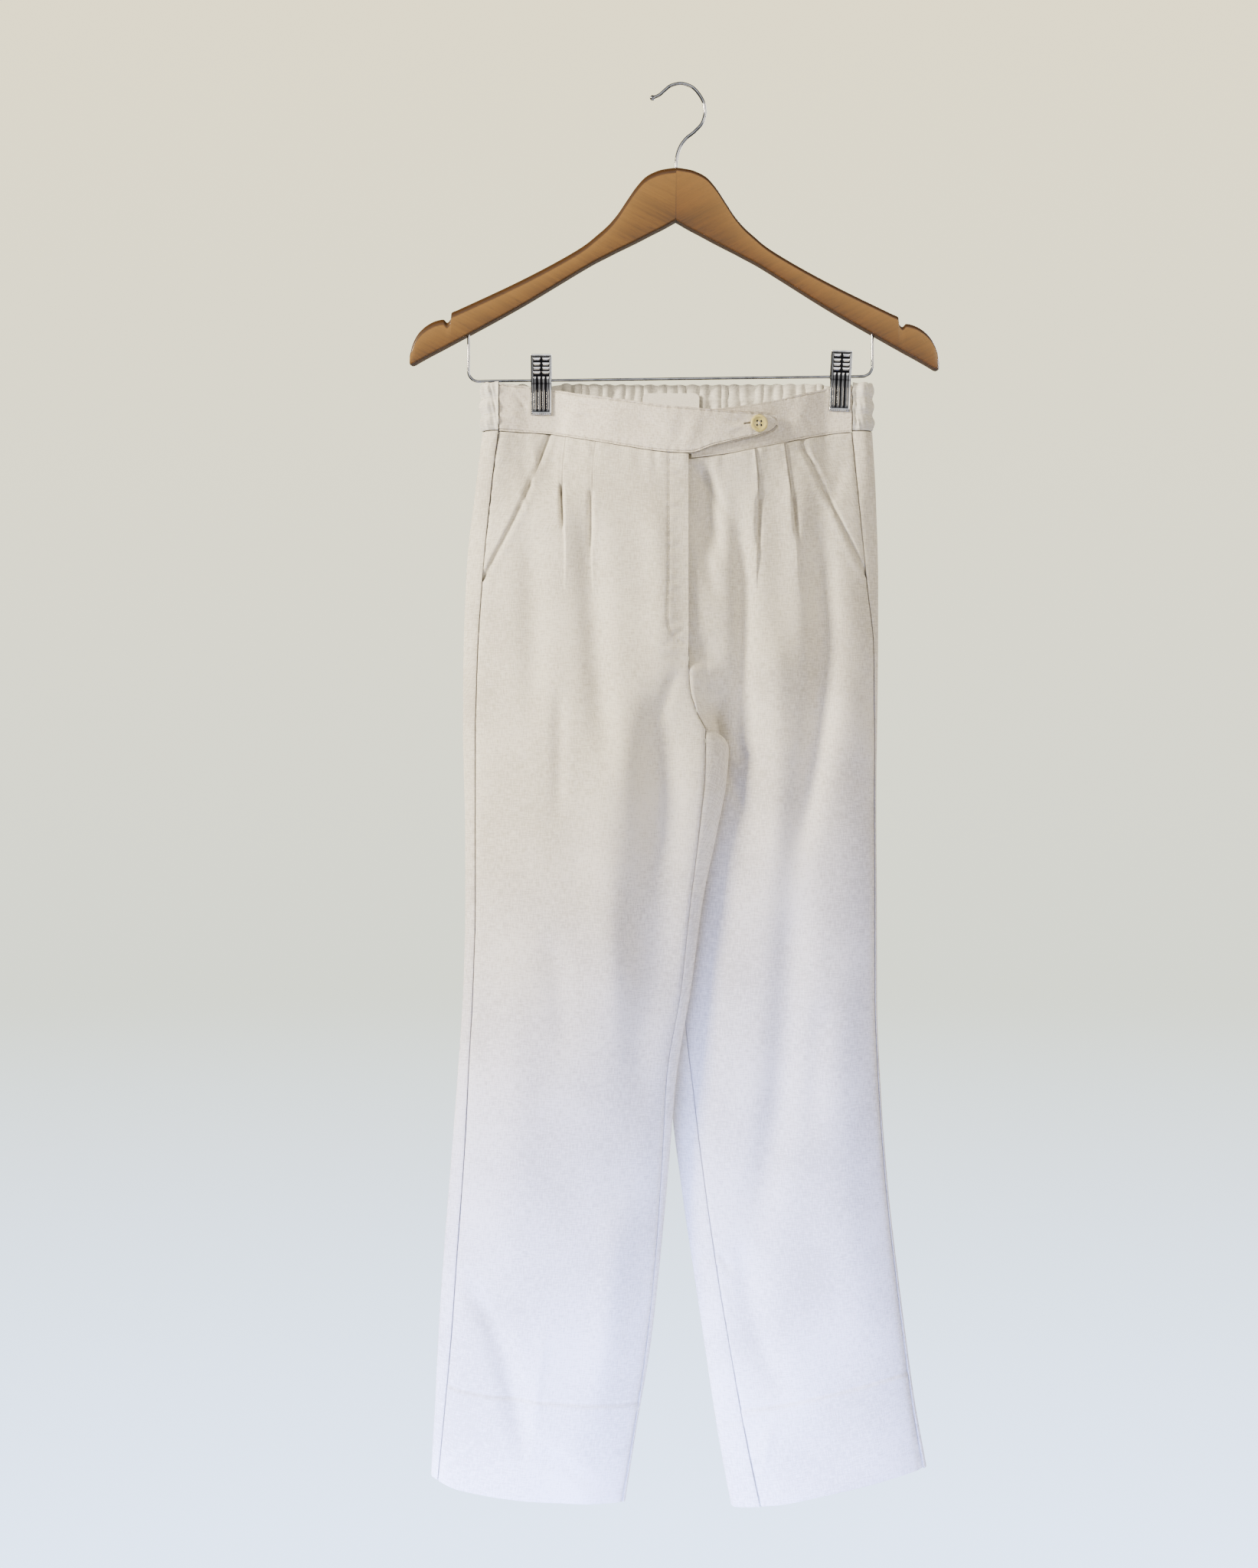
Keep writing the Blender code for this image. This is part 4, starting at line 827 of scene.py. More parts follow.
def cloth_shell(name: str, columns: int, rows: int | Array, shape: Shape, wall: float, outward: int = 1,
                mitre: tuple[float, float] = (0.0, 0.0), rim: float = 0.3,
                values: Marking | None = None,
                near_edge: float = 0.28) -> Mesh:
    """A thin closed shell: a grid bent to a shape, with its wall behind the outer face.

    Args:
        name: the mesh's name.
        columns: faces across.
        rows: faces down, or the shares down where its rows lie.
        shape: gives the outer face at (u, v), v running down.
        wall: how thick it is.
        outward: -1 where u runs the other way.
        mitre: how far the wall's first and last edge slant back from their neighbour, in thicknesses.
        rim: how far the outline's corners are rounded off, as a share of the wall.
        values: gives shading attributes at (u, v).
        near_edge: how near an edge its neighbour lies, as a share of the usual spacing.

    Returns:
        The mesh, with UVs in metres along the threads.
    """
    across = np.linspace(0, 1, columns + 1)
    down = np.linspace(0, 1, rows + 1) if isinstance(rows, int) else np.array(rows)
    rows = len(down) - 1
    for shares in (across, down):
        shares[1] *= near_edge
        shares[-2] = 1 - (1 - shares[-2]) * near_edge
    u, v = np.meshgrid(across, down)
    face = np.stack(np.broadcast_arrays(*shape(u, v)), axis=-1)
    normals = grid_normals(face) * outward
    inside = face - normals * wall
    for edge, beside, slant in ((0, 1, mitre[0]), (-1, -2, mitre[1])):
        away = face[:, beside] - face[:, edge]
        inside[:, edge] += away / np.linalg.norm(away, axis=-1, keepdims=True) * slant * wall
    outline = np.zeros(u.shape, bool)
    outline[[0, -1]] = outline[:, [0, -1]] = True
    face[outline] -= normals[outline] * wall * rim
    inside[outline] += normals[outline] * wall * rim

    bm, spot = numbered_grid(columns, rows)
    grown = bmesh.ops.extrude_face_region(bm, geom=bm.faces, use_keep_orig=True)
    behind = {item for item in grown["geom"] if isinstance(item, bmesh.types.BMVert)}
    uv = cloth_coordinates(face)
    face, inside = face.reshape(-1, 3), inside.reshape(-1, 3)
    for vert in bm.verts:
        vert.co = (inside if vert in behind else face)[vert[spot]]
    mesh = finish_mesh(name, bm)
    set_attributes(mesh, uv, values(u, v) if values else {})
    return mesh


def seam_marks(u: Array, v: Array, first: Array | float, last: Array | float, top: float, bottom: float = 0.0
               ) -> Marks:
    """How strongly a seam's shade shows along each edge of a panel.

    Args:
        u: shares across.
        v: shares down.
        first: the mark along its first column.
        last: along its last column.
        top: along its top row.
        bottom: along its bottom row.

    Returns:
        The attribute that the cloth's finish reads.
    """
    edges = ((u == 0, first), (u == 1, last), (v == 0, top), (v == 1, bottom))
    return {"seam": np.max([np.where(on, mark, 0.0) for on, mark in edges], axis=0)}


def sleeve(name: str, sides: int, rows: int, shape: Shape, sharp: float = 50.0,
           values: Marking | None = None) -> Mesh:
    """A solid whose sections are closed rings.

    Args:
        name: the mesh's name.
        sides: faces round a ring.
        rows: faces from end to end.
        shape: gives a point at (u, v), u running round and v along.
        sharp: angle in degrees from which an edge stays sharp.
        values: gives shading attributes at (u, v).

    Returns:
        The mesh, closed at both ends.
    """
    u, v = np.meshgrid(np.linspace(0, 1, sides + 1), np.linspace(0, 1, rows + 1))
    points = np.stack(np.broadcast_arrays(*shape(u, v)), axis=-1)
    uv = cloth_coordinates(points)
    flat = points.reshape(-1, 3)
    bm, spot = numbered_grid(sides, rows)
    for vert in bm.verts:
        vert.co = flat[vert[spot]]
    bmesh.ops.remove_doubles(bm, verts=bm.verts, dist=1e-7)
    bmesh.ops.holes_fill(bm, edges=bm.edges, sides=0)
    mesh = finish_mesh(name, bm, sharp)
    set_attributes(mesh, uv, values(u, v) if values else {})
    return mesh


def wire(name: str, points: Array, radii: Array | float, sides: int = 16) -> Mesh:
    """A round wire through points, with rounded ends.

    Args:
        name: the mesh's name.
        points: its centre line, (n, 3).
        radii: its radius, or one for each point.
        sides: faces round it.

    Returns:
        The mesh.
    """
    points = np.asarray(points, float)
    radii = np.broadcast_to(np.asarray(radii, float), len(points)).copy()
    ends = np.array([0.98, 0.80, 0.45, 0.05])  # each end's last rings, smaller and further out
    reach = np.sqrt(1 - ends**2)
    for _ in range(2):
        away = points[0] - points[1]
        away /= np.linalg.norm(away)
        cap = points[0] + away * reach[::-1, None] * radii[0]
        points, radii = np.concatenate([cap, points]), np.concatenate([radii[0] * ends[::-1], radii])
        points, radii = points[::-1], radii[::-1]
    tangents = np.gradient(points, axis=0)
    tangents /= np.linalg.norm(tangents, axis=1, keepdims=True)
    side = np.cross(tangents[0], (0.31, 0.83, 0.46))
    sideways = []
    for tangent in tangents:  # carry one side vector along, so that the rings don't twist
        side = side - tangent * (side @ tangent)
        side /= np.linalg.norm(side)
        sideways.append(side)
    sideways = np.array(sideways)
    upward = np.cross(tangents, sideways)

    def shape(u: Array, v: Array) -> Points:
        """A ring's point at the turn u, on the centre line's point at v.

        Args:
            u: shares of a turn.
            v: shares along.

        Returns:
            x, y and z.
        """
        at = np.rint(v * (len(points) - 1)).astype(int)
        turn = (u * 2 * math.pi)[..., None]
        place = points[at] + radii[at][..., None] * (sideways[at] * np.cos(turn) + upward[at] * np.sin(turn))
        return place[..., 0], place[..., 1], place[..., 2]

    return sleeve(name, sides, len(points) - 1, shape)


def joined(name: str, meshes: Sequence[Mesh]) -> Mesh:
    """One mesh that holds all of these, which are removed.

    Args:
        name: its name.
        meshes: the meshes.

    Returns:
        The one mesh.
    """
    bm = bmesh.new()
    for mesh in meshes:
        bm.from_mesh(mesh)
        bpy.data.meshes.remove(mesh)
    return finish_mesh(name, bm, outward=False)


def stitch_row(bm: BMesh, line: Array, normals: Array, stitch: float = 0.0024,
               gap: float = 0.0007, radius: float = 0.0003) -> None:
    """Adds a row of stitches that lie along a line.

    Args:
        bm: where they are added.
        line: close points on the cloth, (n, 3).
        normals: which way the cloth faces at each.
        stitch: length of one.
        gap: what shows of the cloth between two.
        radius: half a thread's thickness.
    """
    along = np.concatenate([[0.0], np.cumsum(np.linalg.norm(np.diff(line, axis=0), axis=1))])

    def read(rows: Array, at: float) -> Vector:
        """What the rows hold at a distance along the line."""
        return Vector([np.interp(at, along, rows[:, axis]) for axis in range(3)])

    for start in np.arange(gap, along[-1] - stitch, stitch + gap):
        ends = [read(line, at) for at in (start, start + stitch)]
        up = read(normals, start + stitch / 2).normalized()
        way = (ends[1] - ends[0]).normalized()
        across = up.cross(way).normalized()
        turn = Matrix((way * stitch / 2, across * radius, up * radius)).transposed().to_4x4()
        spot = (ends[0] + ends[1]) / 2 + up * radius * 0.3
        bmesh.ops.create_icosphere(bm, subdivisions=1, radius=1.0, matrix=Matrix.Translation(spot) @ turn)


def on_shape(shape: Shape, u: Array, v: Array, outward: int) -> tuple[Array, Array]:
    """Points of a shape at (u, v), and its normals there.

    Args:
        shape: the cloth's outer face.
        u: shares across.
        v: shares down.
        outward: -1 where u runs the other way.

    Returns:
        The points and their normals, each (n, 3).
    """
    step = 1e-3
    at = [np.stack(shape(np.clip(u + du, 0, 1), np.clip(v + dv, 0, 1)), axis=-1)
          for du, dv in ((0, 0), (step, 0), (-step, 0), (0, step), (0, -step))]
    normals = np.cross(at[3] - at[4], at[1] - at[2]) * outward
    return at[0], normals / np.linalg.norm(normals, axis=1, keepdims=True)


# ---------------------------------------------------------------- finishes


def linear(code: str) -> tuple[float, float, float, float]:
    """Turns an sRGB hex colour, such as #9A6C3C, to linear RGBA."""
    shares = (int(code[i : i + 2], 16) / 255 for i in (1, 3, 5))
    return (*(c / 12.92 if c <= 0.04045 else ((c + 0.055) / 1.055) ** 2.4 for c in shares), 1.0)


def feed(tree: NodeTree, node: Node, inputs: dict) -> None:
    """Gives a node's sockets what they take.

    Args:
        tree: the node tree.
        node: one of its nodes.
        inputs: for each socket an output to link, a node whose first live output is linked, or a value.
    """
    for name, value in inputs.items():
        if isinstance(value, Node):
            value = next(output for output in value.outputs if output.enabled)
        if isinstance(value, NodeSocket):
            tree.links.new(value, node.inputs[name])
        else:
            node.inputs[name].default_value = value


def add(tree: NodeTree, kind: str, inputs: dict | None = None, ramp: Sequence[tuple] = (),
        **settings: object) -> Node:
    """Adds a node with its settings and links.

    Args:
        tree: the node tree.
        kind: the node's type, without its usual start.
        inputs: what its sockets take, as in feed.
        ramp: a colour ramp's stops, each a place and a hex colour.
        settings: the node's own properties.

    Returns:
        The node.
    """
    node = tree.nodes.new("ShaderNode" + kind)
    for name, value in settings.items():
        setattr(node, name, value)
    feed(tree, node, inputs or {})
    for i, (place, colour) in enumerate(ramp):
        stop = node.color_ramp.elements[i] if i < 2 else node.color_ramp.elements.new(place)
        stop.position, stop.color = place, linear(colour)
    return node


def noise(tree: NodeTree, place: Node | NodeSocket, scale: float, **inputs: float) -> Node:
    """Adds a noise.

    Args:
        tree: the node tree.
        place: the coordinates that it reads.
        scale: its waves a metre, or 1 where the coordinates are scaled already.
        inputs: its other sockets.

    Returns:
        The node. Its first output is the noise's value.
    """
    return add(tree, "TexNoise", {"Vector": place, "Scale": scale, **inputs})


def tinted(tree: NodeTree, colour: Node, mark: str, tint: str) -> Node:
    """Adds a tint where the mesh has a mark.

    Args:
        tree: the node tree.
        colour: the colour elsewhere.
        mark: the mesh's attribute, 1 where the tint is full.
        tint: the tint in hex.

    Returns:
        The node that gives the colour with its tint.
    """
    share = add(tree, "Attribute", attribute_name=mark).outputs["Fac"]
    return add(tree, "Mix", {"Factor": share, "A": colour, "B": linear(tint)}, data_type="RGBA")


@dataclass(frozen=True)
class Finish:
    """A surface: its material's name and the record's slot that it stands for."""

    name: str
    slot: str

    def material(self) -> bpy.types.Material:
        """Makes the material the first time that it is asked for.

        Returns:
            The material.
        """
        found = bpy.data.materials.get(self.name)
        if found is None:
            found = bpy.data.materials.new(self.name)
            found.use_nodes = True
            self.lay_nodes(found.node_tree, found.node_tree.nodes["Principled BSDF"])
        return found

    def lay_nodes(self, tree: NodeTree, shader: Node) -> None:
        """Lays the nodes that feed the shader. Each finish has its own."""
        raise NotImplementedError


@dataclass(frozen=True)
class WovenCloth(Finish):
    """Plain-woven polyester and viscose suiting: matt, a little fuzzy, with slightly uneven threads.

    The real threads are about 0.35 mm apart, too fine to show, so they are drawn as coarse as thread_mm.
    """

    shade: str = "#C3BFB6"
    light: str = "#E6E3DB"
    thread_mm: float = 0.95
    slub_mm: float = 7.0
    height_mm: float = 0.30
    roughness: tuple[float, float] = (0.80, 0.93)  # on the threads and between them
    seam: str = "#666361"  # the shade that lies in seams
    clouding: float = 0.35  # how much whole areas differ in tone

    def lay_nodes(self, tree: NodeTree, shader: Node) -> None:
        """Warp and weft are two stretched noises on the cloth's own coordinates.

        Args:
            tree: the material's nodes.
            shader: the one that they feed.
        """
        threads, place = (add(tree, "TexCoord").outputs[name] for name in ("UV", "Object"))
        narrow, long = 1000 / self.thread_mm, 1000 / self.slub_mm
        ways = [add(tree, "Mapping", {"Vector": threads, "Scale": scale})
                for scale in ((narrow, long, 1.0), (long, narrow, 1.0))]
        warp, weft = (noise(tree, way, 1.0, Detail=2.0, Roughness=0.6) for way in ways)
        woven = add(tree, "Math", {0: warp, 1: weft}, operation="ADD")
        height = add(tree, "Math", {0: woven, 1: 0.5}, operation="MULTIPLY")
        clouds = noise(tree, place, 14.0, Detail=3.0)
        tone = add(tree, "Math", {0: clouds, 1: self.clouding, 2: -self.clouding / 2},
                   operation="MULTIPLY_ADD")
        level = add(tree, "Math", {0: height, 1: tone}, operation="ADD")
        colour = add(tree, "ValToRGB", {"Fac": level}, ramp=[(0.38, self.shade), (0.58, self.light)])
        rough = add(tree, "MapRange", {"Value": height, "From Min": 0.35, "From Max": 0.65,
                                       "To Min": self.roughness[1], "To Max": self.roughness[0]})
        relief = add(tree, "Bump", {"Height": height, "Strength": 0.7, "Distance": self.height_mm / 1000})
        feed(tree, shader, {
            "Base Color": tinted(tree, colour, "seam", self.seam),
            "Roughness": rough,
            "Normal": relief,
            "Specular IOR Level": 0.25,
            "Sheen Weight": 0.12,
            "Sheen Roughness": 0.45,
        })


@dataclass(frozen=True)
class SpunThread(Finish):
    """Spun polyester sewing thread: two twisted plies with a slight gloss. The twist shows as fine bands."""

    # greyer than the white thread is, as painted shade of the dents that the stitches lie in
    shade: str = "#B9B4A9"
    light: str = "#DDD9CF"
    twist_mm: float = 0.6

    def lay_nodes(self, tree: NodeTree, shader: Node) -> None:
        """Slanting bands on object coordinates stand for the twist.

        Args:
            tree: the material's nodes.
            shader: the one that they feed.
        """
        place = add(tree, "TexCoord").outputs["Object"]
        twist = {"Vector": place, "Scale": 1000 / self.twist_mm / 20, "Distortion": 1.5}
        bands = add(tree, "TexWave", twist, bands_direction="DIAGONAL").outputs["Fac"]
        colour = add(tree, "ValToRGB", {"Fac": bands}, ramp=[(0.0, self.shade), (1.0, self.light)])
        relief = add(tree, "Bump", {"Height": bands, "Strength": 0.5, "Distance": 0.0001})
        feed(tree, shader, {"Base Color": colour, "Normal": relief,
                            "Roughness": 0.6, "Sheen Weight": 0.1})


@dataclass(frozen=True)
class HornResin(Finish):
    """Cast polyester resin made to look like pale horn: cream with soft clouds, polished and then tumbled."""

    shade: str = "#B2A452"
    light: str = "#D6CC88"
    # painted shade in the four holes
    hole: str = "#080402"
    cloud_mm: float = 6.0

    def lay_nodes(self, tree: NodeTree, shader: Node) -> None:
        """Clouds of two creams, and a fine tumbled roughness. The holes are painted dark, as painted shade.

        Args:
            tree: the material's nodes.
            shader: the one that they feed.
        """
        place = add(tree, "TexCoord").outputs["Object"]
        clouds = noise(tree, place, 1000 / self.cloud_mm, Detail=3.0, Distortion=0.8)
        colour = add(tree, "ValToRGB", {"Fac": clouds}, ramp=[(0.3, self.shade), (0.7, self.light)])
        tumbled = noise(tree, place, 2500.0)
        rough = add(tree, "MapRange", {"Value": tumbled, "To Min": 0.28, "To Max": 0.45})
        relief = add(tree, "Bump", {"Height": tumbled, "Strength": 0.15, "Distance": 0.0001})
        feed(tree, shader, {
            "Base Color": tinted(tree, colour, "hollow", self.hole),
            "Roughness": rough,
            "Normal": relief,
            "Coat Weight": 0.2,
            "Subsurface Weight": 0.08,
            "Subsurface Radius": (0.002, 0.0016, 0.001),
        })


@dataclass(frozen=True)
class VarnishedWood(Finish):
    """Stained lotus-type hanger wood, sanded and varnished: fine straight grain, dark pores, soft gloss.

    The grain is about 1 mm wide, and is drawn as coarse as it needs to show. The rounded edges are painted
    darker, as painted shade, and the brink of the top rounding carries a painted pale highlight.
    """

    dark: str = "#432B09"
    body: str = "#55380E"
    light: str = "#614314"
    edge: str = "#321D05"  # painted shade on the roundings, and the dark of the joint
    # painted highlight along the brink of the top rounding
    brink_highlight: str = "#A07A40"
    slope: float = 0.0  # how far the grain leans from X, in degrees
    grain_mm: float = 2.2
    streak_mm: float = 70.0

    def lay_nodes(self, tree: NodeTree, shader: Node) -> None:
        """Bands, grain and pores are noises stretched along the arm.

        Args:
            tree: the material's nodes.
            shader: the one that they feed.
        """
        place = add(tree, "TexCoord").outputs["Object"]
        turned = add(tree, "Mapping", {"Vector": place, "Rotation": (0.0, math.radians(self.slope), 0.0)})
        layers = []
        for length, width, detail in ((self.streak_mm * 3, 11.0, 2.0), (self.streak_mm, self.grain_mm, 4.0),
                                      (7.0, 0.8, 1.0)):
            scale = (1000 / length, 1000 / width, 1000 / width)
            laid = add(tree, "Mapping", {"Vector": turned, "Scale": scale})
            layers.append(noise(tree, laid, 1.0, Detail=detail, Distortion=0.4))
        bands, lines, pores = layers
        added = add(tree, "Math", {0: bands, 1: lines}, operation="ADD")
        grain = add(tree, "Math", {0: added, 1: 0.5}, operation="MULTIPLY")
        colour = add(tree, "ValToRGB", {"Fac": grain},
                     ramp=[(0.32, self.dark), (0.66, self.light), (0.50, self.body)])
        dimming = add(tree, "MapRange", {"Value": pores, "From Min": 0.30, "From Max": 0.42, "To Min": 0.72,
                                         "To Max": 1.0})
        both = {"Factor": 1.0, "A": colour, "B": dimming}
        pored = add(tree, "Mix", both, data_type="RGBA", blend_type="MULTIPLY")
        # painted shade on the roundings, with the dark of the joint
        shade_and_joint = tinted(tree, pored, "rounding", self.edge)
        rough = add(tree, "MapRange", {"Value": grain, "To Min": 0.52, "To Max": 0.30})
        relief = add(tree, "Bump", {"Height": pores, "Strength": 0.12, "Distance": 0.0002})
        # a painted highlight along the brink of the top rounding
        feed(tree, shader, {
            "Base Color": tinted(tree, shade_and_joint, "rubbing", self.brink_highlight),
            "Roughness": rough,
            "Normal": relief,
            "Specular IOR Level": 0.35,
            "Coat Weight": 0.12,
            "Coat Roughness": 0.22,
        })


@dataclass(frozen=True)
class PlatedSteel(Finish):
    """Steel, pressed or drawn, then polished and plated with nickel or chrome.

    It gives hard reflections, slightly clouded by handling. Where the pressing goes in it carries painted
    shade, and on a clip's flutes, frame and lip painted darker reflection.
    """

    shade: str = "#B4B5B7"
    light: str = "#ECECED"
    # painted shade in the pressing's hollows, and painted darker reflection where the mesh marks it
    hollow: str = "#0E0E10"
    roughness: tuple[float, float] = (0.10, 0.20)

    def lay_nodes(self, tree: NodeTree, shader: Node) -> None:
        """Handling clouds the plate a little, and painted shade darkens the places that the mesh marks.

        Args:
            tree: the material's nodes.
            shader: the one that they feed.
        """
        place = add(tree, "TexCoord").outputs["Object"]
        clouds = noise(tree, place, 160.0, Detail=4.0)
        colour = add(tree, "ValToRGB", {"Fac": clouds}, ramp=[(0.25, self.shade), (0.60, self.light)])
        clear, cloudy = self.roughness
        rough = add(tree, "MapRange", {"Value": clouds, "To Min": clear, "To Max": cloudy})
        scratches = noise(tree, place, 1800.0, Detail=2.0)
        relief = add(tree, "Bump", {"Height": scratches, "Strength": 0.03, "Distance": 0.00005})
        feed(tree, shader, {
            "Base Color": tinted(tree, colour, "hollow", self.hollow),
            "Roughness": rough,
            "Normal": relief,
            "Metallic": 1.0,
        })


@dataclass(frozen=True)
class PaintedFloor(Finish):
    """Matt painted board for the studio's floor, with the faint mottle of a roller."""

    shade: str = "#D8DADE"
    light: str = "#E4E6EA"

    def lay_nodes(self, tree: NodeTree, shader: Node) -> None:
        """A soft mottle of two pale greys.

        Args:
            tree: the material's nodes.
            shader: the one that they feed.
        """
        mottle = noise(tree, add(tree, "TexCoord").outputs["Object"], 30.0, Detail=3.0)
        colour = add(tree, "ValToRGB", {"Fac": mottle}, ramp=[(0.3, self.shade), (0.7, self.light)])
        feed(tree, shader, {"Base Color": colour, "Roughness": 0.85})


SUITING = WovenCloth("woven_white_suiting", "white_suiting")
BAND_CLOTH = WovenCloth("woven_waistband_cloth", "waistband_cloth", shade="#C6C0B8", light="#E9E5DE",
                        thread_mm=1.1, slub_mm=4.0, height_mm=0.20)
# a cooler, greyer copy of the waistband cloth: a painted tint that offsets the warm light bouncing inside the
# waist
ELASTIC_CLOTH = WovenCloth("woven_elastic_cloth", "waistband_cloth", shade="#C0C0BD", light="#E4E4E0")
LABEL_CLOTH = WovenCloth("woven_label_satin", "label_cloth", shade="#E9E8E5", light="#F8F7F5", thread_mm=0.7,
                         slub_mm=3.0, height_mm=0.08, roughness=(0.55, 0.72))
THREAD = SpunThread("spun_white_thread", "white_suiting")
HORN = HornResin("cast_horn_resin", "button_horn")
STEEL = PlatedSteel("nickel_plated_wire", "steel_wire", shade="#606164", light="#8E8F92",
                    roughness=(0.08, 0.16))
CHROME = PlatedSteel("chrome_plated_sheet", "clip_chrome")
RIGHT_WOOD = VarnishedWood("varnished_wood_right", "varnished_wood", slope=-27.0)
LEFT_WOOD = VarnishedWood("varnished_wood_left", "varnished_wood", slope=27.0, dark="#3D2605", body="#4E3107",
                          light="#5A390C")


# ---------------------------------------------------------------- the trousers


class Held(Enum):
    """How a sheet of cloth is held."""

    HUNG = "hung"
    GATHERED = "gathered"


def put(name: str, mesh: Mesh, finish: Finish, *nodes: str) -> Object:
    """Makes a mesh a piece of the object, on its one body.

    Args:
        name: the piece's name.
        mesh: its mesh, in place.
        finish: what it is made of.
        nodes: the solids that it stands for.

    Returns:
        The piece.
    """
    mesh.materials.clear()
    mesh.materials.append(finish.material())
    piece = stand(name, mesh)
    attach(piece, "root")
    if nodes:
        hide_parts(*nodes)
    LOG.info("%s: %d faces, %s", name, len(mesh.polygons), finish.name)
    return piece


@dataclass
class Front:
    """One front panel, from its pocket mouth or side seam over two pleats to the centre."""

    side: Side
    edge: Callable[[Array], tuple[Array, Array]]  # its centre edge at each height
    flat: tuple[float, float]
    area: float
    columns: int = 130
    mitre: tuple[float, float] = (0.6, 1.1)
    seam_dip: float = 0.0007  # how far its edges are pulled in
    mouth_mark: float = 0.5  # how dark the painted shade along the pocket mouth's edge is
    pleat_mark: float = 0.7  # how dark the painted shade along the stitched part of a pleat's edge is

    def shape(self, u: Array, v: Array) -> Points:
        """The outer face at (u, v).

        Args:
            u: shares across.
            v: shares down.

        Returns:
            x, y and z.
        """
        side, inward = self.side, self.side.inward
        level = heights(side.front_levels, v)
        seam, mouth = follow(side.leg, "side", level), follow(side.pocket, "x", level)
        start = np.where(level <= side.pocket["z"][0], seam, mouth)
        end, end_y = self.edge(level)
        outer, inner = follow(side.pleats, "outer", level), follow(side.pleats, "inner", level)
        step = inward * PLEAT_STEP
        x = spread(
            u,
            (0.0, start + inward * SEAM_GAP / 2),
            (PLEAT_STOPS[0], outer - step),
            (PLEAT_STOPS[1], outer + step),
            (PLEAT_STOPS[2], inner - step),
            (PLEAT_STOPS[3], inner + step),
            (1.0, end - inward * SEAM_GAP / 2),
        )
        z = ends_to_band_and_hem(level, follow(side.band, "bottom", x), follow(side.hem, "z", x))
        above_inseam, up_fly = ease(CROTCH_Z - 0.007, CROTCH_Z, level), ease(CROTCH_Z, -0.500, level)
        reach = 0.005 + 0.007 * above_inseam + 0.024 * up_fly
        y = front_y(side, x, z)
        y = y + ease(1, 0, np.abs(x - end) / reach) * (end_y - front_y(side, end, level))
        sewn = np.where(level <= side.pocket["z"][0], 1.0, 0.25)
        y = y + self.seam_dip * sewn * bump(x - start, 0.0018)
        y = y + self.seam_dip * ease(-0.47, -0.50, level) * bump(x - end, 0.0018)
        return x, y, z

    def marks(self, u: Array, v: Array) -> Marks:
        """Painted shade along the side seam below the pocket, the inseam below the fly, the band's seam, the
        pleats' stitched edges and the fly's stitching.

        Args:
            u: shares across.
            v: shares down.

        Returns:
            The cloth's shading attribute.
        """
        level = heights(self.side.front_levels, v)
        side_seam = mix(self.mouth_mark, PANEL_MARK, ease(0.0, -0.004, level - self.side.pocket["z"][0]))
        marks = seam_marks(u, v, side_seam, ease(-0.505, -0.520, level), BAND_MARK)["seam"]
        x, _, z = self.shape(u, v)
        # painted shade along each pleat's stitched edge, strongest in the open gap where its stitching ends
        for column in ("outer", "inner"):
            past = (x - follow(self.side.pleats, column, z)) * self.side.inward
            sewn = self.pleat_mark * ease(-0.352, -0.330, z) + 0.5 * bump(z + 0.340, 0.010)
            marks = np.maximum(marks, sewn * bump(past + 0.0003, 0.0006))
        if self.side is RIGHT:
            # painted shade in the dent of the fly's stitching
            stitched = STITCH_MARK * bump(x - follow(FLY_STITCHING, "x", z), 0.0011) * fly_sewn(z)
            marks = np.maximum(marks, stitched)
        return {"seam": marks}

    def build(self) -> Object:
        """Makes the panel and hides the solid that it stands for.

        Returns:
            The piece.
        """
        name = self.side.name
        rows = len(self.side.front_levels) - 1
        mesh = cloth_shell(f"front_{name}_cloth", self.columns, rows, self.shape, CLOTH, self.side.inward,
                           self.mitre, values=self.marks)
        piece = put(f"front_{name}_cloth", mesh, SUITING, f"front_{name}")
        return piece


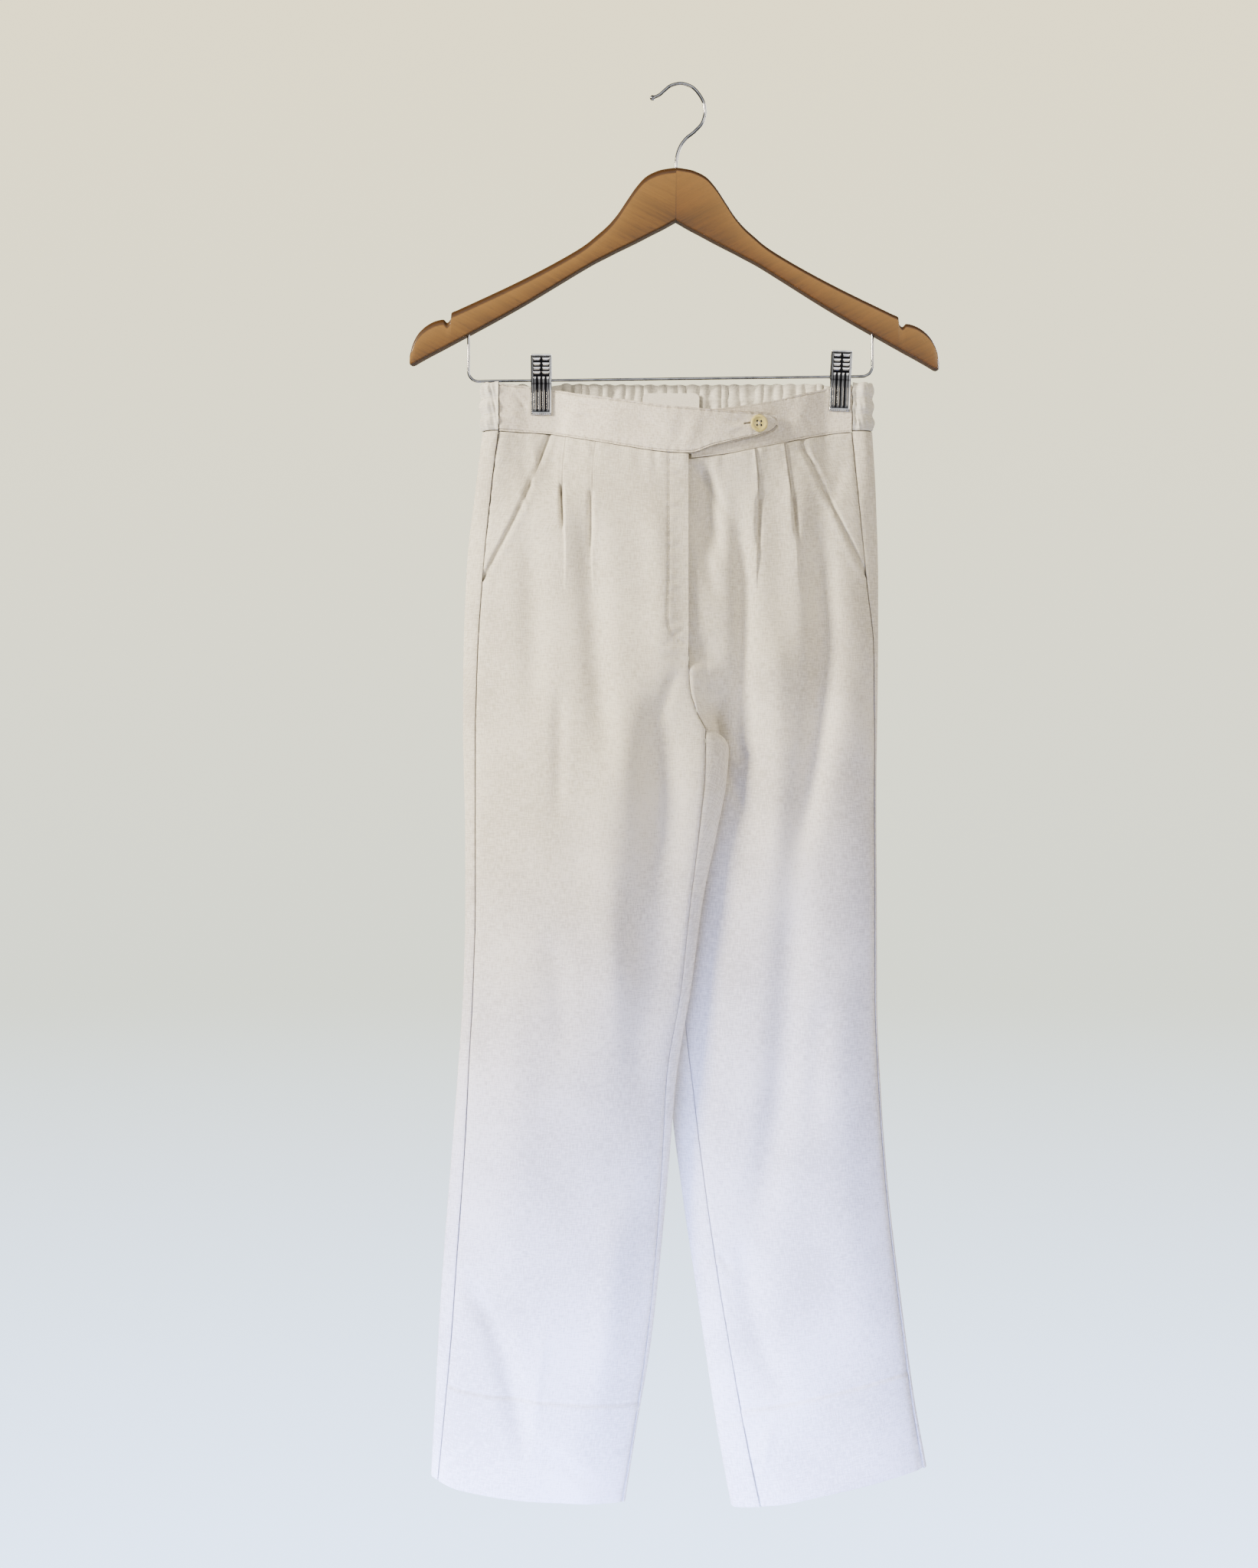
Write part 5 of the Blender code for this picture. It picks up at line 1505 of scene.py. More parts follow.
@dataclass
class Back:
    """One back panel, from the side seam round the side fold, across, and round the inner fold."""

    side: Side
    flat: tuple[float, float]
    area: float
    columns: int = 100
    mitre: tuple[float, float] = (0.9, 1.1)
    seam_dip: float = 0.0007
    gather: float = 0.0022  # how deep the elastic gathers it

    def shape(self, u: Array, v: Array) -> Points:
        """The outer face at (u, v).

        Args:
            u: shares across.
            v: shares down.

        Returns:
            x, y and z.
        """
        side, leg, inward = self.side, self.side.leg, self.side.inward
        level = heights(side.back_levels, v)
        fold_stop, near_stop = BACK_STOPS
        end_x, end_y, end_z = back_edge(side, level)
        z = mix(level, end_z, ease(0.80, 1.0, u))
        outer, inner = follow(leg, "outer", z), follow(leg, "inner", z)
        other = follow((LEFT if side is RIGHT else RIGHT).leg, "outer", z)
        seam = follow(leg, "side", z)

        wrapped = ease(FORK_Z, -0.572, level) if side is RIGHT else ease(-0.532, FORK_Z, level)
        short = -turn_at(end_x, outer, inner)
        round_fold = turn_at(follow(leg, "inseam", z), outer, inner) - 2 * math.pi
        last = mix(short, round_fold, wrapped)
        near = mix(last * (near_stop - fold_stop) / (1 - fold_stop), NEAR_TURN, ease(-0.430, FORK_Z, level))
        begin = turn_at(seam, outer, inner)
        on_leg = spread(u, (0.0, begin), (fold_stop, 0.0), (near_stop, near), (1.0, last))
        seat = -turn_at(follow(SEAT_SEAM, "x", np.maximum(level, FORK_Z)), outer, other)
        on_body = spread(u, (0.0, turn_at(seam, outer, other)), (fold_stop, 0.0), (1.0, seat))
        apart = ease(-0.430, FORK_Z, level)
        x, y = mix(ring(side, on_body, z, False), ring(side, on_leg, z, True), apart)
        last_x, last_y = mix(ring(side, seat, z, False), ring(side, last, z, True), apart)

        behind = ease(0.15, 0.30, u) * ease(0.95, 0.75, u)
        y = y - fold_relief(side.back_folds, x, z) * behind
        y = y + fold_relief(side.front_folds, x, z) * ease(fold_stop, 0.0, u)
        y = y + self.uneven_back(x, u, z) * behind
        pull = ease(0.62, 1.0, u)
        x = x + (end_x - last_x) * pull - inward * SEAM_GAP / 2 * ease(fold_stop, 0.0, u)
        y = y + (end_y - last_y) * pull
        hem = follow(side.hem, "z", x) + 0.002 * behind
        return x, y, ends_to_band_and_hem(z, BAND_BOTTOM_Z, hem)

    def uneven_back(self, x: Array, u: Array, z: Array) -> Array:
        """Gathers under the elastic, which run out down the seat, and soft unevenness below them.

        Args:
            x: places across.
            u: the same as shares of the panel.
            z: their heights.

        Returns:
            The relief at each place.
        """
        seed = self.side.seed
        gathers = self.gather * 0.6 * np.sin(u * 2 * math.pi * 9) * ease(-0.420, -0.300, z)
        gathers = gathers + 0.0007 * uneven(x + 0.06 * z, 0.0085, seed) * ease(-0.345, -0.296, z)
        broad = 0.0006 * uneven(x - 0.2 * z, 0.080, seed) * uneven(z, 0.19, seed + 1)
        above_line = z - follow(self.side.hem, "z", x) - TURN_UP
        line = 0.0004 * ease(0.0012, -0.0006, above_line) - 0.0004 * bump(above_line, 0.0011)
        return gathers + broad + line

    def marks(self, u: Array, v: Array) -> Marks:
        """Painted shade along the side seam, the seat seam and inseam, and the band's seam."""
        return seam_marks(u, v, PANEL_MARK, 1.0, BAND_MARK)

    def build(self) -> Object:
        """Makes the panel and hides the solid that it stands for.

        Returns:
            The piece.
        """
        name = self.side.name
        rows = len(self.side.back_levels) - 1
        mesh = cloth_shell(f"back_{name}_cloth", self.columns, rows, self.shape, CLOTH, -self.side.inward,
                           self.mitre, values=self.marks)
        piece = put(f"back_{name}_cloth", mesh, SUITING, f"back_{name}")
        return piece


@dataclass
class PocketFacing:
    """The piece that shows through a slanted pocket mouth, from the side seam to its hidden edge."""

    side: Side
    flat: tuple[float, float]
    area: float
    columns: int = 30
    rows: int = 60
    seam_mark: float = 0.75
    hidden: float = 0.007  # how far it runs on behind the mouth

    def shape(self, u: Array, v: Array) -> Points:
        """The outer face at (u, v).

        Args:
            u: shares across.
            v: shares down.

        Returns:
            x, y and z.
        """
        side = self.side
        lift = CLOTH + 0.0006 + side.pocket_gape
        level = mix(WAIST_Z, side.pocket["z"][0] + 0.0015, v)
        seam = follow(side.leg, "side", level) + side.inward * SEAM_GAP / 2
        mouth = follow(side.pocket, "x", level)
        x = spread(u, (0.0, seam), (0.6, mouth), (1.0, mouth + side.inward * self.hidden))
        z = ends_to_band_and_hem(level, follow(side.band, "bottom", x), HEM_Z)
        y = front_y(side, x, z) + lift * ease(0.0055, 0.0003, (mouth - x) * side.inward)
        return x, y + 0.0007 * bump(x - seam, 0.0018), z

    def marks(self, u: Array, v: Array) -> Marks:
        """Painted shade along the side seam and the band's seam."""
        return seam_marks(u, v, self.seam_mark, 0.0, BAND_MARK)

    def build(self) -> Object:
        """Makes the facing and hides the solid that it stands for.

        Returns:
            The piece.
        """
        name = f"pocket_facing_{self.side.name}"
        mesh = cloth_shell(f"{name}_cloth", self.columns, self.rows, self.shape, CLOTH, self.side.inward,
                           (0.6, 0.0), values=self.marks)
        piece = put(f"{name}_cloth", mesh, SUITING, name)
        return piece


# ---------------------------------------------------------------- the waistband


@dataclass
class Waistband:
    """Two flat front bands, the right one with a tab that laps over the left, and the elastic back band."""

    stitch_inset: float = 0.035  # share of the height from an edge to its stitching
    # Where the flat bands' rows lie, by their number: closer at the stitching.
    close_rows: tuple[tuple, tuple] = ((0, 0.22, 0.38, 0.62, 0.78, 1), (0, 0.08, 0.40, 0.54, 0.92, 1))
    gathers: int = 42
    gather_depth: float = 0.0013
    clip_dip: float = 0.0028  # how far a clip holds the elastic's edge down
    buttonhole: tuple[float, float, float] = (0.0515, 0.0596, -0.2885)  # from x to x, and its height

    def stitch_dent(self, x: Array, z: Array, v: Array) -> Array:
        """The dents of the topstitching, and the cloth's swell and puckers between, all flat in the clips.

        Args:
            x: places across.
            z: their heights.
            v: shares down.

        Returns:
            The relief at each place.
        """
        edge = np.minimum(v, 1 - v)
        dent = 0.0008 * bump(edge - self.stitch_inset, 0.013)
        pucker = 0.00035 * uneven(x, 0.0085, 1.0) * bump(edge, 0.14)
        drape = 0.0007 * uneven(x + 0.01 * v, 0.030, 2.2) * np.sin(math.pi * v)
        from_clip = np.minimum(np.abs(x - CLIP_RIGHT_X), np.abs(x - CLIP_LEFT_X))
        pressed_flat = ease(0.0140, 0.0100, from_clip)
        return (dent + pucker + drape + line_relief(BAND_LINES, x, z)) * (1 - pressed_flat)

    def slit(self, x: Array, z: Array, taper: float) -> Array:
        """How far a place lies in the buttonhole's slit, which rises a little towards its end.

        Args:
            x: places along the band.
            z: their heights.
            taper: how far the slit takes to close at each end.

        Returns:
            1 in the slit, 0 outside it.
        """
        begin, end, height = self.buttonhole
        across = bump(z - height - 0.12 * (x - begin), 0.0006)
        return across * (ease(begin, begin + taper, x) * ease(end, end - taper, x))

    def right_shape(self, u: Array, v: Array) -> Points:
        """From the elastic at the right side to the round end of the tab.

        Args:
            u: shares across.
            v: shares down.

        Returns:
            x, y and z.
        """
        x = spread(u, (0.0, -0.1523 + SEAM_GAP), (0.09, -0.1262), (0.13, -0.1072), (0.50, 0.0061),
                   (0.64, 0.0490), (0.80, 0.0600), (0.86, 0.0680), (1.0, 0.0788))
        z = mix(follow(RIGHT_BAND_EDGES, "top", x), follow(RIGHT_BAND_EDGES, "bottom", x), v)
        y = follow(WAIST_PLAN, "front", x) - SEAM_GAP + self.stitch_dent(x, z, v)
        begin, _, height = self.buttonhole
        near = bump(x - begin, 0.012) * bump(z - height, 0.009)
        y = y + 0.0004 * np.sin((z - height) / 0.0021 + (x - begin) * 90) * near
        return x, y + 0.0015 * self.slit(x, z, 0.001), z

    def flat_marks(self, u: Array, v: Array, first: float, last: float) -> Array:
        """How dark the painted shade is along the seams round a flat band and in the dents under its
        topstitching.

        Args:
            u: shares along.
            v: shares down.
            first: the mark along its first end.
            last: along its last end.

        Returns:
            The mark at each place.
        """
        dented = STITCH_MARK * bump(np.minimum(v, 1 - v) - self.stitch_inset, 0.012)
        return np.maximum(seam_marks(u, v, first, last, BAND_TOP_MARK, BAND_MARK)["seam"], dented)

    def right_marks(self, u: Array, v: Array) -> Marks:
        """The painted shade round the right front band's seams, in its buttonhole's slit, and on the cloth
        behind the button's holes.

        Args:
            u: shares across.
            v: shares down.

        Returns:
            The cloth's shading attribute.
        """
        x, _, z = self.right_shape(u, v)
        edges = self.flat_marks(u, v, BAND_END_MARK, 0.0)
        # painted shade on the cloth behind the button's holes
        behind_button = ease(0.0034, 0.0026, np.hypot(x - Button.x, z - Button.z))
        return {"seam": np.maximum(np.maximum(edges, self.slit(x, z, 0.0006)), behind_button)}

    def left_shape(self, u: Array, v: Array) -> Points:
        """From behind the tab to the elastic at the left side.

        Args:
            u: shares across.
            v: shares down.

        Returns:
            x, y and z.
        """
        x = spread(u, (0.0, 0.0080), (12 / 14, 0.1236), (1.0, 0.1437 - SEAM_GAP))
        z = mix(follow(LEFT_BAND_EDGES, "top", x), follow(LEFT_BAND_EDGES, "bottom", x), v)
        y = follow(WAIST_PLAN, "front", x) - SEAM_GAP + LEFT_RECESS * ease(0.106, 0.078, x)
        return x, y + self.stitch_dent(x, z, v) * ease(0.080, 0.095, x), z

    def left_marks(self, u: Array, v: Array) -> Marks:
        """Painted shade along the seams round the left front band, and in the dents of its topstitching."""
        return {"seam": self.flat_marks(u, v, 0.0, BAND_END_MARK)}

    def elastic_marks(self, u: Array, v: Array) -> Marks:
        """Painted shade along the seams round the elastic band."""
        return seam_marks(u, v, BAND_END_MARK, BAND_END_MARK, 0.0, BAND_MARK)

    def waist_path(self) -> Points:
        """The plan of the elastic band: shares of its length, x and y.

        Returns:
            The shares, x and y.
        """
        right, left = WAIST_PLAN["x"][0], WAIST_PLAN["x"][-1]
        around = right + (left - right) * (1 - np.cos(np.linspace(0, math.pi, 241))) / 2
        front_right = np.linspace(-0.1523 - SEAM_GAP, right, 12)
        front_left = np.linspace(left, 0.1437 + SEAM_GAP, 12)
        x = np.concatenate([front_right, around[1:-1], front_left])
        front = follow(WAIST_PLAN, "front", x) - SEAM_GAP
        y = np.where(np.arange(len(x)) < 12, front, follow(WAIST_PLAN, "back", x))
        y[-12:] = front[-12:]
        lengths = np.concatenate([[0.0], np.cumsum(np.hypot(np.diff(x), np.diff(y)))])
        return lengths / lengths[-1], x, y

    def elastic_shape(self, u: Array, v: Array) -> Points:
        """Gathered in three channels, unevenly, and nipped flat where the clips hold it.

        Args:
            u: shares across.
            v: shares down.

        Returns:
            x, y and z.
        """
        share, path_x, path_y = self.waist_path()
        x, y = np.interp(u, share, path_x), np.interp(u, share, path_y)
        before, after = (np.array([np.interp(u + step, share, path) for path in (path_x, path_y)])
                         for step in (-0.004, 0.004))
        along = (after - before) / np.hypot(*(after - before))
        strip = np.clip(np.floor(v * 3), 0, 2)  # each channel's gathers lean their own way
        lean = (v - 0.5) * 1.1 * np.sin(u * 37) + 0.35 * np.sin(u * 91 + strip * 1.7)
        sway = 0.9 * np.sin(u * 61 + 0.8) + 0.7 * np.sin(u * 143 + 2.0)
        gather = np.cos(2 * math.pi * self.gathers * u + sway + lean)
        gather = gather - 0.25 * np.abs(np.sin(2 * math.pi * self.gathers * u / 2 + sway))
        channel = np.cos(2 * math.pi * 3 * v)  # 1 on the edges and both stitched lines, -1 between them
        nipped = sum(np.exp(-(((x - clip) / 0.013) ** 4)) for clip in (CLIP_RIGHT_X, CLIP_LEFT_X))
        nipped = nipped * ease(0.001, 0.004, y)
        depth = self.gather_depth * (0.75 - 0.25 * channel) * (1 - 0.75 * np.minimum(nipped, 1))
        depth = depth * ease(0.0, 0.006, u) * ease(1.0, 0.994, u) * (0.85 + 0.2 * np.sin(u * 77 + strip))
        at_side = ease(0.075, 0.050, u) + ease(0.925, 0.950, u)
        crossed = 0.0005 * uneven(u * 0.55 + 0.012 * v, 0.0065, 1.3) * (1 - 0.5 * channel) * at_side
        puff = 0.0006 * (1 + 1.2 * at_side) * (1 - channel) / 2 - 0.0003 * bump(channel - 1, 0.12) + crossed
        out = gather * depth + puff * (1 - nipped)
        z = mix(BAND_TOP_Z - self.clip_dip * nipped, BAND_BOTTOM_Z, v)
        z = z + 0.0005 * np.sin(u * 201 + 1.0) * ease(0.12, 0.0, v) * (1 - nipped)
        return x - along[1] * out, y + along[0] * out, z

    def build(self) -> list[Object]:
        """Makes the three bands, and hides the solids that they stand for.

        Returns:
            The pieces.
        """
        stitched = np.interp(np.linspace(0, 1, 50), *self.close_rows)
        band_sheets = (
            ("waistband_front_right", 270, stitched, self.right_shape, 1, (0.3, 0.0), self.right_marks,
             (0.232, 0.042), 0.0085, Held.HUNG, ["clip_right_front", "clip_right_back"]),
            ("waistband_front_left", 130, stitched, self.left_shape, 1, (0.0, 0.3),
             self.left_marks,
             (0.140, 0.042), 0.0055, Held.HUNG, ["clip_left_front", "clip_left_back"]),
            ("waistband_back", 504, 30, self.elastic_shape, -1, (0.3, 0.3),
             self.elastic_marks,
             (0.56, 0.0404), 0.0200, Held.GATHERED, ["clip_right_back", "clip_left_back"]),
        )
        pieces = []
        for name, columns, rows, shape, outward, mitre, marks, flat, area, held, rests_on in band_sheets:
            mesh = cloth_shell(f"{name}_cloth", columns, rows, shape, BAND, outward, mitre, values=marks)
            finish = ELASTIC_CLOTH if held is Held.GATHERED else BAND_CLOTH
            pieces.append(put(f"{name}_cloth", mesh, finish, name))
        return pieces


@dataclass
class Label:
    """A plain patch with round corners, sewn inside the centre back."""

    width: float = 0.0478
    height: float = 0.0250
    wall: float = 0.0008
    corner: float = 0.0045
    centre_x: float = -0.0082
    top_z: float = -0.2580
    clearance: float = 0.0013  # the height of the gathers that it lies on

    def build(self) -> Object:
        """Makes the patch, flat against the inside of the elastic band.

        Returns:
            The piece.
        """
        bm = bmesh.new()
        bmesh.ops.create_grid(bm, x_segments=1, y_segments=1, size=0.5)
        bmesh.ops.scale(bm, vec=(self.width, self.height, 1), verts=bm.verts)
        bmesh.ops.bevel(bm, geom=bm.verts[:], offset=self.corner, segments=6, profile=0.5, affect="VERTICES",
                        material=-1)
        grown = bmesh.ops.extrude_face_region(bm, geom=bm.faces, use_keep_orig=True)
        behind = [item for item in grown["geom"] if isinstance(item, bmesh.types.BMVert)]
        bmesh.ops.translate(bm, vec=(0, 0, -self.wall), verts=behind)
        inner_face = float(follow(WAIST_PLAN, "back", -0.008)) - BAND - self.clearance
        middle = (self.centre_x, inner_face - SEAM_GAP - self.wall, self.top_z - self.height / 2)
        place = Matrix.Translation(middle)
        bmesh.ops.transform(bm, matrix=place @ Matrix.Rotation(math.pi / 2, 4, "X"), verts=bm.verts)
        mesh = finish_mesh("label_cloth", bm)
        uv = mesh.uv_layers.new(name="threads").data
        for corner, loop in zip(uv, mesh.loops):
            co = mesh.vertices[loop.vertex_index].co
            corner.uv = (co.x, co.z)
        piece = put("label_patch", mesh, LABEL_CLOTH, "label")
        return piece


@dataclass
class Button:
    """One four-hole button on the tab, with its thread."""

    x: float = 0.0641
    z: float = -0.2882
    radius: float = 0.00725
    height: float = 0.0028
    dish: float = 0.0052  # radius of the hollow in its face
    hole: float = 0.00100
    bottom: float = 0.0006  # what closes each hole, where thread and shade fill it
    spacing: float = 0.00165
    thread: float = 0.00030

    def place(self) -> Matrix:
        """Where the button's middle lies, with its own +Z facing out of the tab.

        Returns:
            The placing.
        """
        before, after = follow(WAIST_PLAN, "front", [self.x - 0.004, self.x + 0.004])
        slope = math.atan2(after - before, 0.008)
        outward = Vector((math.sin(slope), -math.cos(slope), 0))
        tab = Vector((self.x, float(follow(WAIST_PLAN, "front", self.x)) - SEAM_GAP, self.z))
        turn = outward.to_track_quat("Z", "Y").to_matrix().to_4x4()
        return Matrix.Translation(tab + outward * (SEAM_GAP + self.height / 2)) @ turn

    def disc(self) -> Mesh:
        """Spins the disc, drills its four holes, and marks them for painted shade.

        Returns:
            The mesh, about its own middle.
        """
        half, rim = self.height / 2, self.radius
        profile = [
            (0.0, half - 0.0008), (self.dish - 0.0012, half - 0.0008), (self.dish - 0.0006, half - 0.0006),
            (self.dish, half - 0.0001), (rim - 0.0014, half), (rim - 0.0005, half - 0.0003),
            (rim, half - 0.0010), (rim - 0.0004, -half + 0.0006), (rim - 0.0020, -half), (0.0, -half),
        ]
        bm = bmesh.new()
        verts = [bm.verts.new((r, 0, h)) for r, h in profile]
        edges = [bm.edges.new(pair) for pair in zip(verts, verts[1:])]
        bmesh.ops.spin(bm, geom=verts + edges, cent=(0, 0, 0), axis=(0, 0, 1), angle=2 * math.pi, steps=64,
                       use_merge=True)
        bmesh.ops.remove_doubles(bm, verts=bm.verts, dist=1e-6)
        disc = stand("button_disc", finish_mesh("button_disc", bm))
        bm = bmesh.new()
        spots = [(a * self.spacing, b * self.spacing) for a in (-1, 1) for b in (-1, 1)]
        for a, b in spots:
            middle = Matrix.Translation((a, b, 0.005 - half + self.bottom))
            bmesh.ops.create_cone(bm, cap_ends=True, segments=16, radius1=self.hole, radius2=self.hole,
                                  depth=0.01, matrix=middle)
        drills = stand("button_drills", finish_mesh("button_drills", bm))
        cut = disc.modifiers.new("holes", "BOOLEAN")
        cut.operation, cut.object = "DIFFERENCE", drills
        mesh = bpy.data.meshes.new_from_object(disc.evaluated_get(bpy.context.evaluated_depsgraph_get()))
        mesh.name = "button"
        for item in (disc, drills):
            bpy.data.objects.remove(item, do_unlink=True)
        deep = mesh.attributes.new("hollow", "FLOAT", "POINT").data
        for vert in mesh.vertices:
            near = min(math.hypot(vert.co.x - a, vert.co.y - b) for a, b in spots)
            deep[vert.index].value = float(near < self.hole * 1.02 and -half + 0.0001 < vert.co.z < 0)
        return mesh

    def strands(self, place: Matrix) -> list[Mesh]:
        """Two threads along each pair of holes, which dip into them at their ends.

        Args:
            place: where the button's middle lies.

        Returns:
            Their meshes.
        """
        face = self.height / 2 - 0.0008
        meshes = []
        for row in (-1, 1):
            for beside in (-0.00019, 0.00019):
                line = [place @ Vector((t * (self.spacing - 0.0006),
                                        row * self.spacing * (0.2 + 0.8 * t * t) + beside,
                                        face + 0.0003 * (1 - t**4) - 0.0012 * abs(t) ** 9))
                        for t in np.linspace(-1, 1, 15)]
                meshes.append(wire("strand", np.array(line), self.thread / 2, 8))
        return meshes

    def build(self) -> list[Object]:
        """Makes the button and the thread that holds it.

        Returns:
            The pieces.
        """
        place, mesh = self.place(), self.disc()
        mesh.transform(place)
        mesh.shade_smooth()
        mesh.set_sharp_from_angle(angle=math.radians(35))
        button = put("button_horn", mesh, HORN, "button")
        return [button, put("button_thread", joined("button_thread", self.strands(place)), THREAD)]


# ---------------------------------------------------------------- the hanger

HANGER_CENTRE = Vector((-0.0042, 0.0, -0.1148))  # where the two arms meet on the underside
HANGER_TILT = math.radians(0.54)  # its left end hangs lower

# One arm: distance from its centre, and the heights of its edges over the underside's peak.
HANGER_ARM = table(
    "reach top bottom",
    (0.02, 44.7, 0), (11.5, 43, -6.5), (18, 40.8, -9.8), (25, 37, -13.5), (33, 28.5, -17.7),
    (41.2, 16.5, -21.8), (49.3, 4.3, -25.8), (57.3, -5, -30), (66, -12.8, -34.5), (75, -20.3, -39.7),
    (90, -29.9, -48.9), (129, -51.1, -72.8), (183, -77, -103), (187.2, -79, -105.3), (188, -84.2, -105.7),
    (190.8, -87.2, -107.3), (194, -84.6, -109), (200, -85.8, -112.2), (207, -89.3, -116),
    (214, -95.5, -120), (219, -104, -122.8), (222, -113, -123.6),
)

# The hook's wire from its ball end over the top and down into the wood.
HOOK = table(
    "step x z",
    (-23.8, -10.9), (-18, -8.4), (-14, -5), (-7.8, -0.3), (0, 1.4), (8.5, -1), (15.5, -7.8), (19.6, -16),
    (20.4, -23), (18.5, -31), (12, -38.8), (4.5, -45), (-0.5, -52), (-3.3, -61), (-4, -70), (-4, -82),
    (-4, -94),
)


@dataclass
class HangerArm:
    """One wooden half of the hanger, with its rounded edges and strap notch."""

    name: str
    way: int  # towards -X or +X
    finish: VarnishedWood
    top_round: float  # how high the rounding of its upper edges is
    thickness: float = 0.0140
    top_depth: float = 0.0042  # how far that rounding goes into its faces
    low_round: float = 0.0018
    glue_line: float = 0.0008  # how far the dark of the joint shows
    end_round: float = 0.003
    narrowed: tuple[float, float] = (0.45, 0.30)  # how much the rounded end loses in depth and in height
    top_shade: tuple[float, float] = (4.8, 5.0)  # the painted shade at the edge, and how fast it fades
    # the painted shade on the lower roundings, and how fast it fades
    low_shade: tuple[float, float] = (1.1, 1.5)
    edge_shade: float = 0.75  # how dark the painted shade of the roundings is
    joint_mark: float = 0.7
    # how strong the painted highlight along the top rounding's brink is
    brink_highlight: float = 0.45
    side_points: int = 14

    def section(self) -> tuple[Array, Array, Array, Array]:
        """One ring: each point's y, how much of top and bottom its height takes, and its painted shade.

        Returns:
            y, the drop from the top in roundings, the rise from the bottom in roundings, and the painted shade.
        """
        half, arc = self.thickness / 2, np.linspace(0, math.pi / 2, self.side_points)
        quarter = [(half - self.top_depth * (1 - math.sin(a)), 1 - math.cos(a)) for a in arc]
        low = [(half - self.low_round * (1 - math.cos(a)), 1 - math.sin(a)) for a in arc]
        front = [(-y, drop, None) for y, drop in quarter] + [(-y, None, rise) for y, rise in low]
        back = [(y, None, rise) for y, rise in low[::-1]] + [(y, drop, None) for y, drop in quarter[::-1]]
        ring_points = front + back + front[:1]
        y = np.array([p[0] for p in ring_points])
        drop = np.array([np.nan if p[1] is None else p[1] for p in ring_points])
        rise = np.array([np.nan if p[2] is None else p[2] for p in ring_points])
        low_rounding = np.clip(self.low_shade[0] - rise * self.low_shade[1], 0, 0.9)
        top_rounding = np.clip(self.top_shade[0] - drop * self.top_shade[1], 0, 1)
        return y, drop, rise, np.where(np.isnan(drop), low_rounding, top_rounding)

    def build(self) -> Object:
        """Lofts the arm along its table, leans it, and dresses it.

        Returns:
            The piece.
        """
        y_ring, drop, rise, rounding = self.section()
        sides = len(y_ring) - 1
        first, last = HANGER_ARM["reach"][[0, -1]]
        notch = np.linspace(0.1850, 0.2005, 90)
        joint = [self.glue_line / 2, self.glue_line]
        reaches = np.concatenate([mix(first, last, np.linspace(0, 1, 120)), notch, joint])
        reaches = np.unique(np.round(reaches, 6))

        def spot(u: Array, v: Array) -> tuple[Array, Array]:
            """The number of the ring's point at u, and how far out the section at v lies."""
            return np.rint(u * sides).astype(int), reaches[np.rint(v * (len(reaches) - 1)).astype(int)]

        def shape(u: Array, v: Array) -> Points:
            """A point of the ring at u, on the section at v.

            Args:
                u: shares round the ring.
                v: shares along.

            Returns:
                x, y and z.
            """
            i, reach = spot(u, v)
            top, bottom = follow(HANGER_ARM, "top", reach), follow(HANGER_ARM, "bottom", reach)
            end = ease(last - self.end_round, last, reach)
            top_round = np.minimum(self.top_round, (top - bottom) * 0.4)
            low_round = np.minimum(self.low_round, (top - bottom) * 0.2)
            z = np.where(np.isnan(drop[i]), bottom + np.nan_to_num(rise[i]) * low_round,
                         top - np.nan_to_num(drop[i]) * top_round)
            depth, height = (share * end**2 for share in self.narrowed)
            return reach * self.way, y_ring[i] * (1 - depth), mix(z, (top + bottom) / 2, height)

        def values(u: Array, v: Array) -> Marks:
            """Where the roundings get painted shade and the joint is darker, and where the top edge's brink
            gets a painted highlight.

            Args:
                u: shares round the ring.
                v: shares along.

            Returns:
                The wood's shading attributes.
            """
            i, reach = spot(u, v)
            brink = bump(np.nan_to_num(drop[i], nan=9.0) - 0.97, 0.06)
            shade_and_joint = np.maximum(rounding[i] * self.edge_shade, self.joint_mark * ease(self.glue_line, 0.0, reach))
            return {"rounding": shade_and_joint, "rubbing": self.brink_highlight * brink}

        mesh = sleeve(self.name, sides, len(reaches) - 1, shape, 40.0, values)
        mesh.transform(Matrix.Translation(HANGER_CENTRE) @ Matrix.Rotation(HANGER_TILT, 4, "Y"))
        return put(f"{self.name}_wood", mesh, self.finish, self.name)


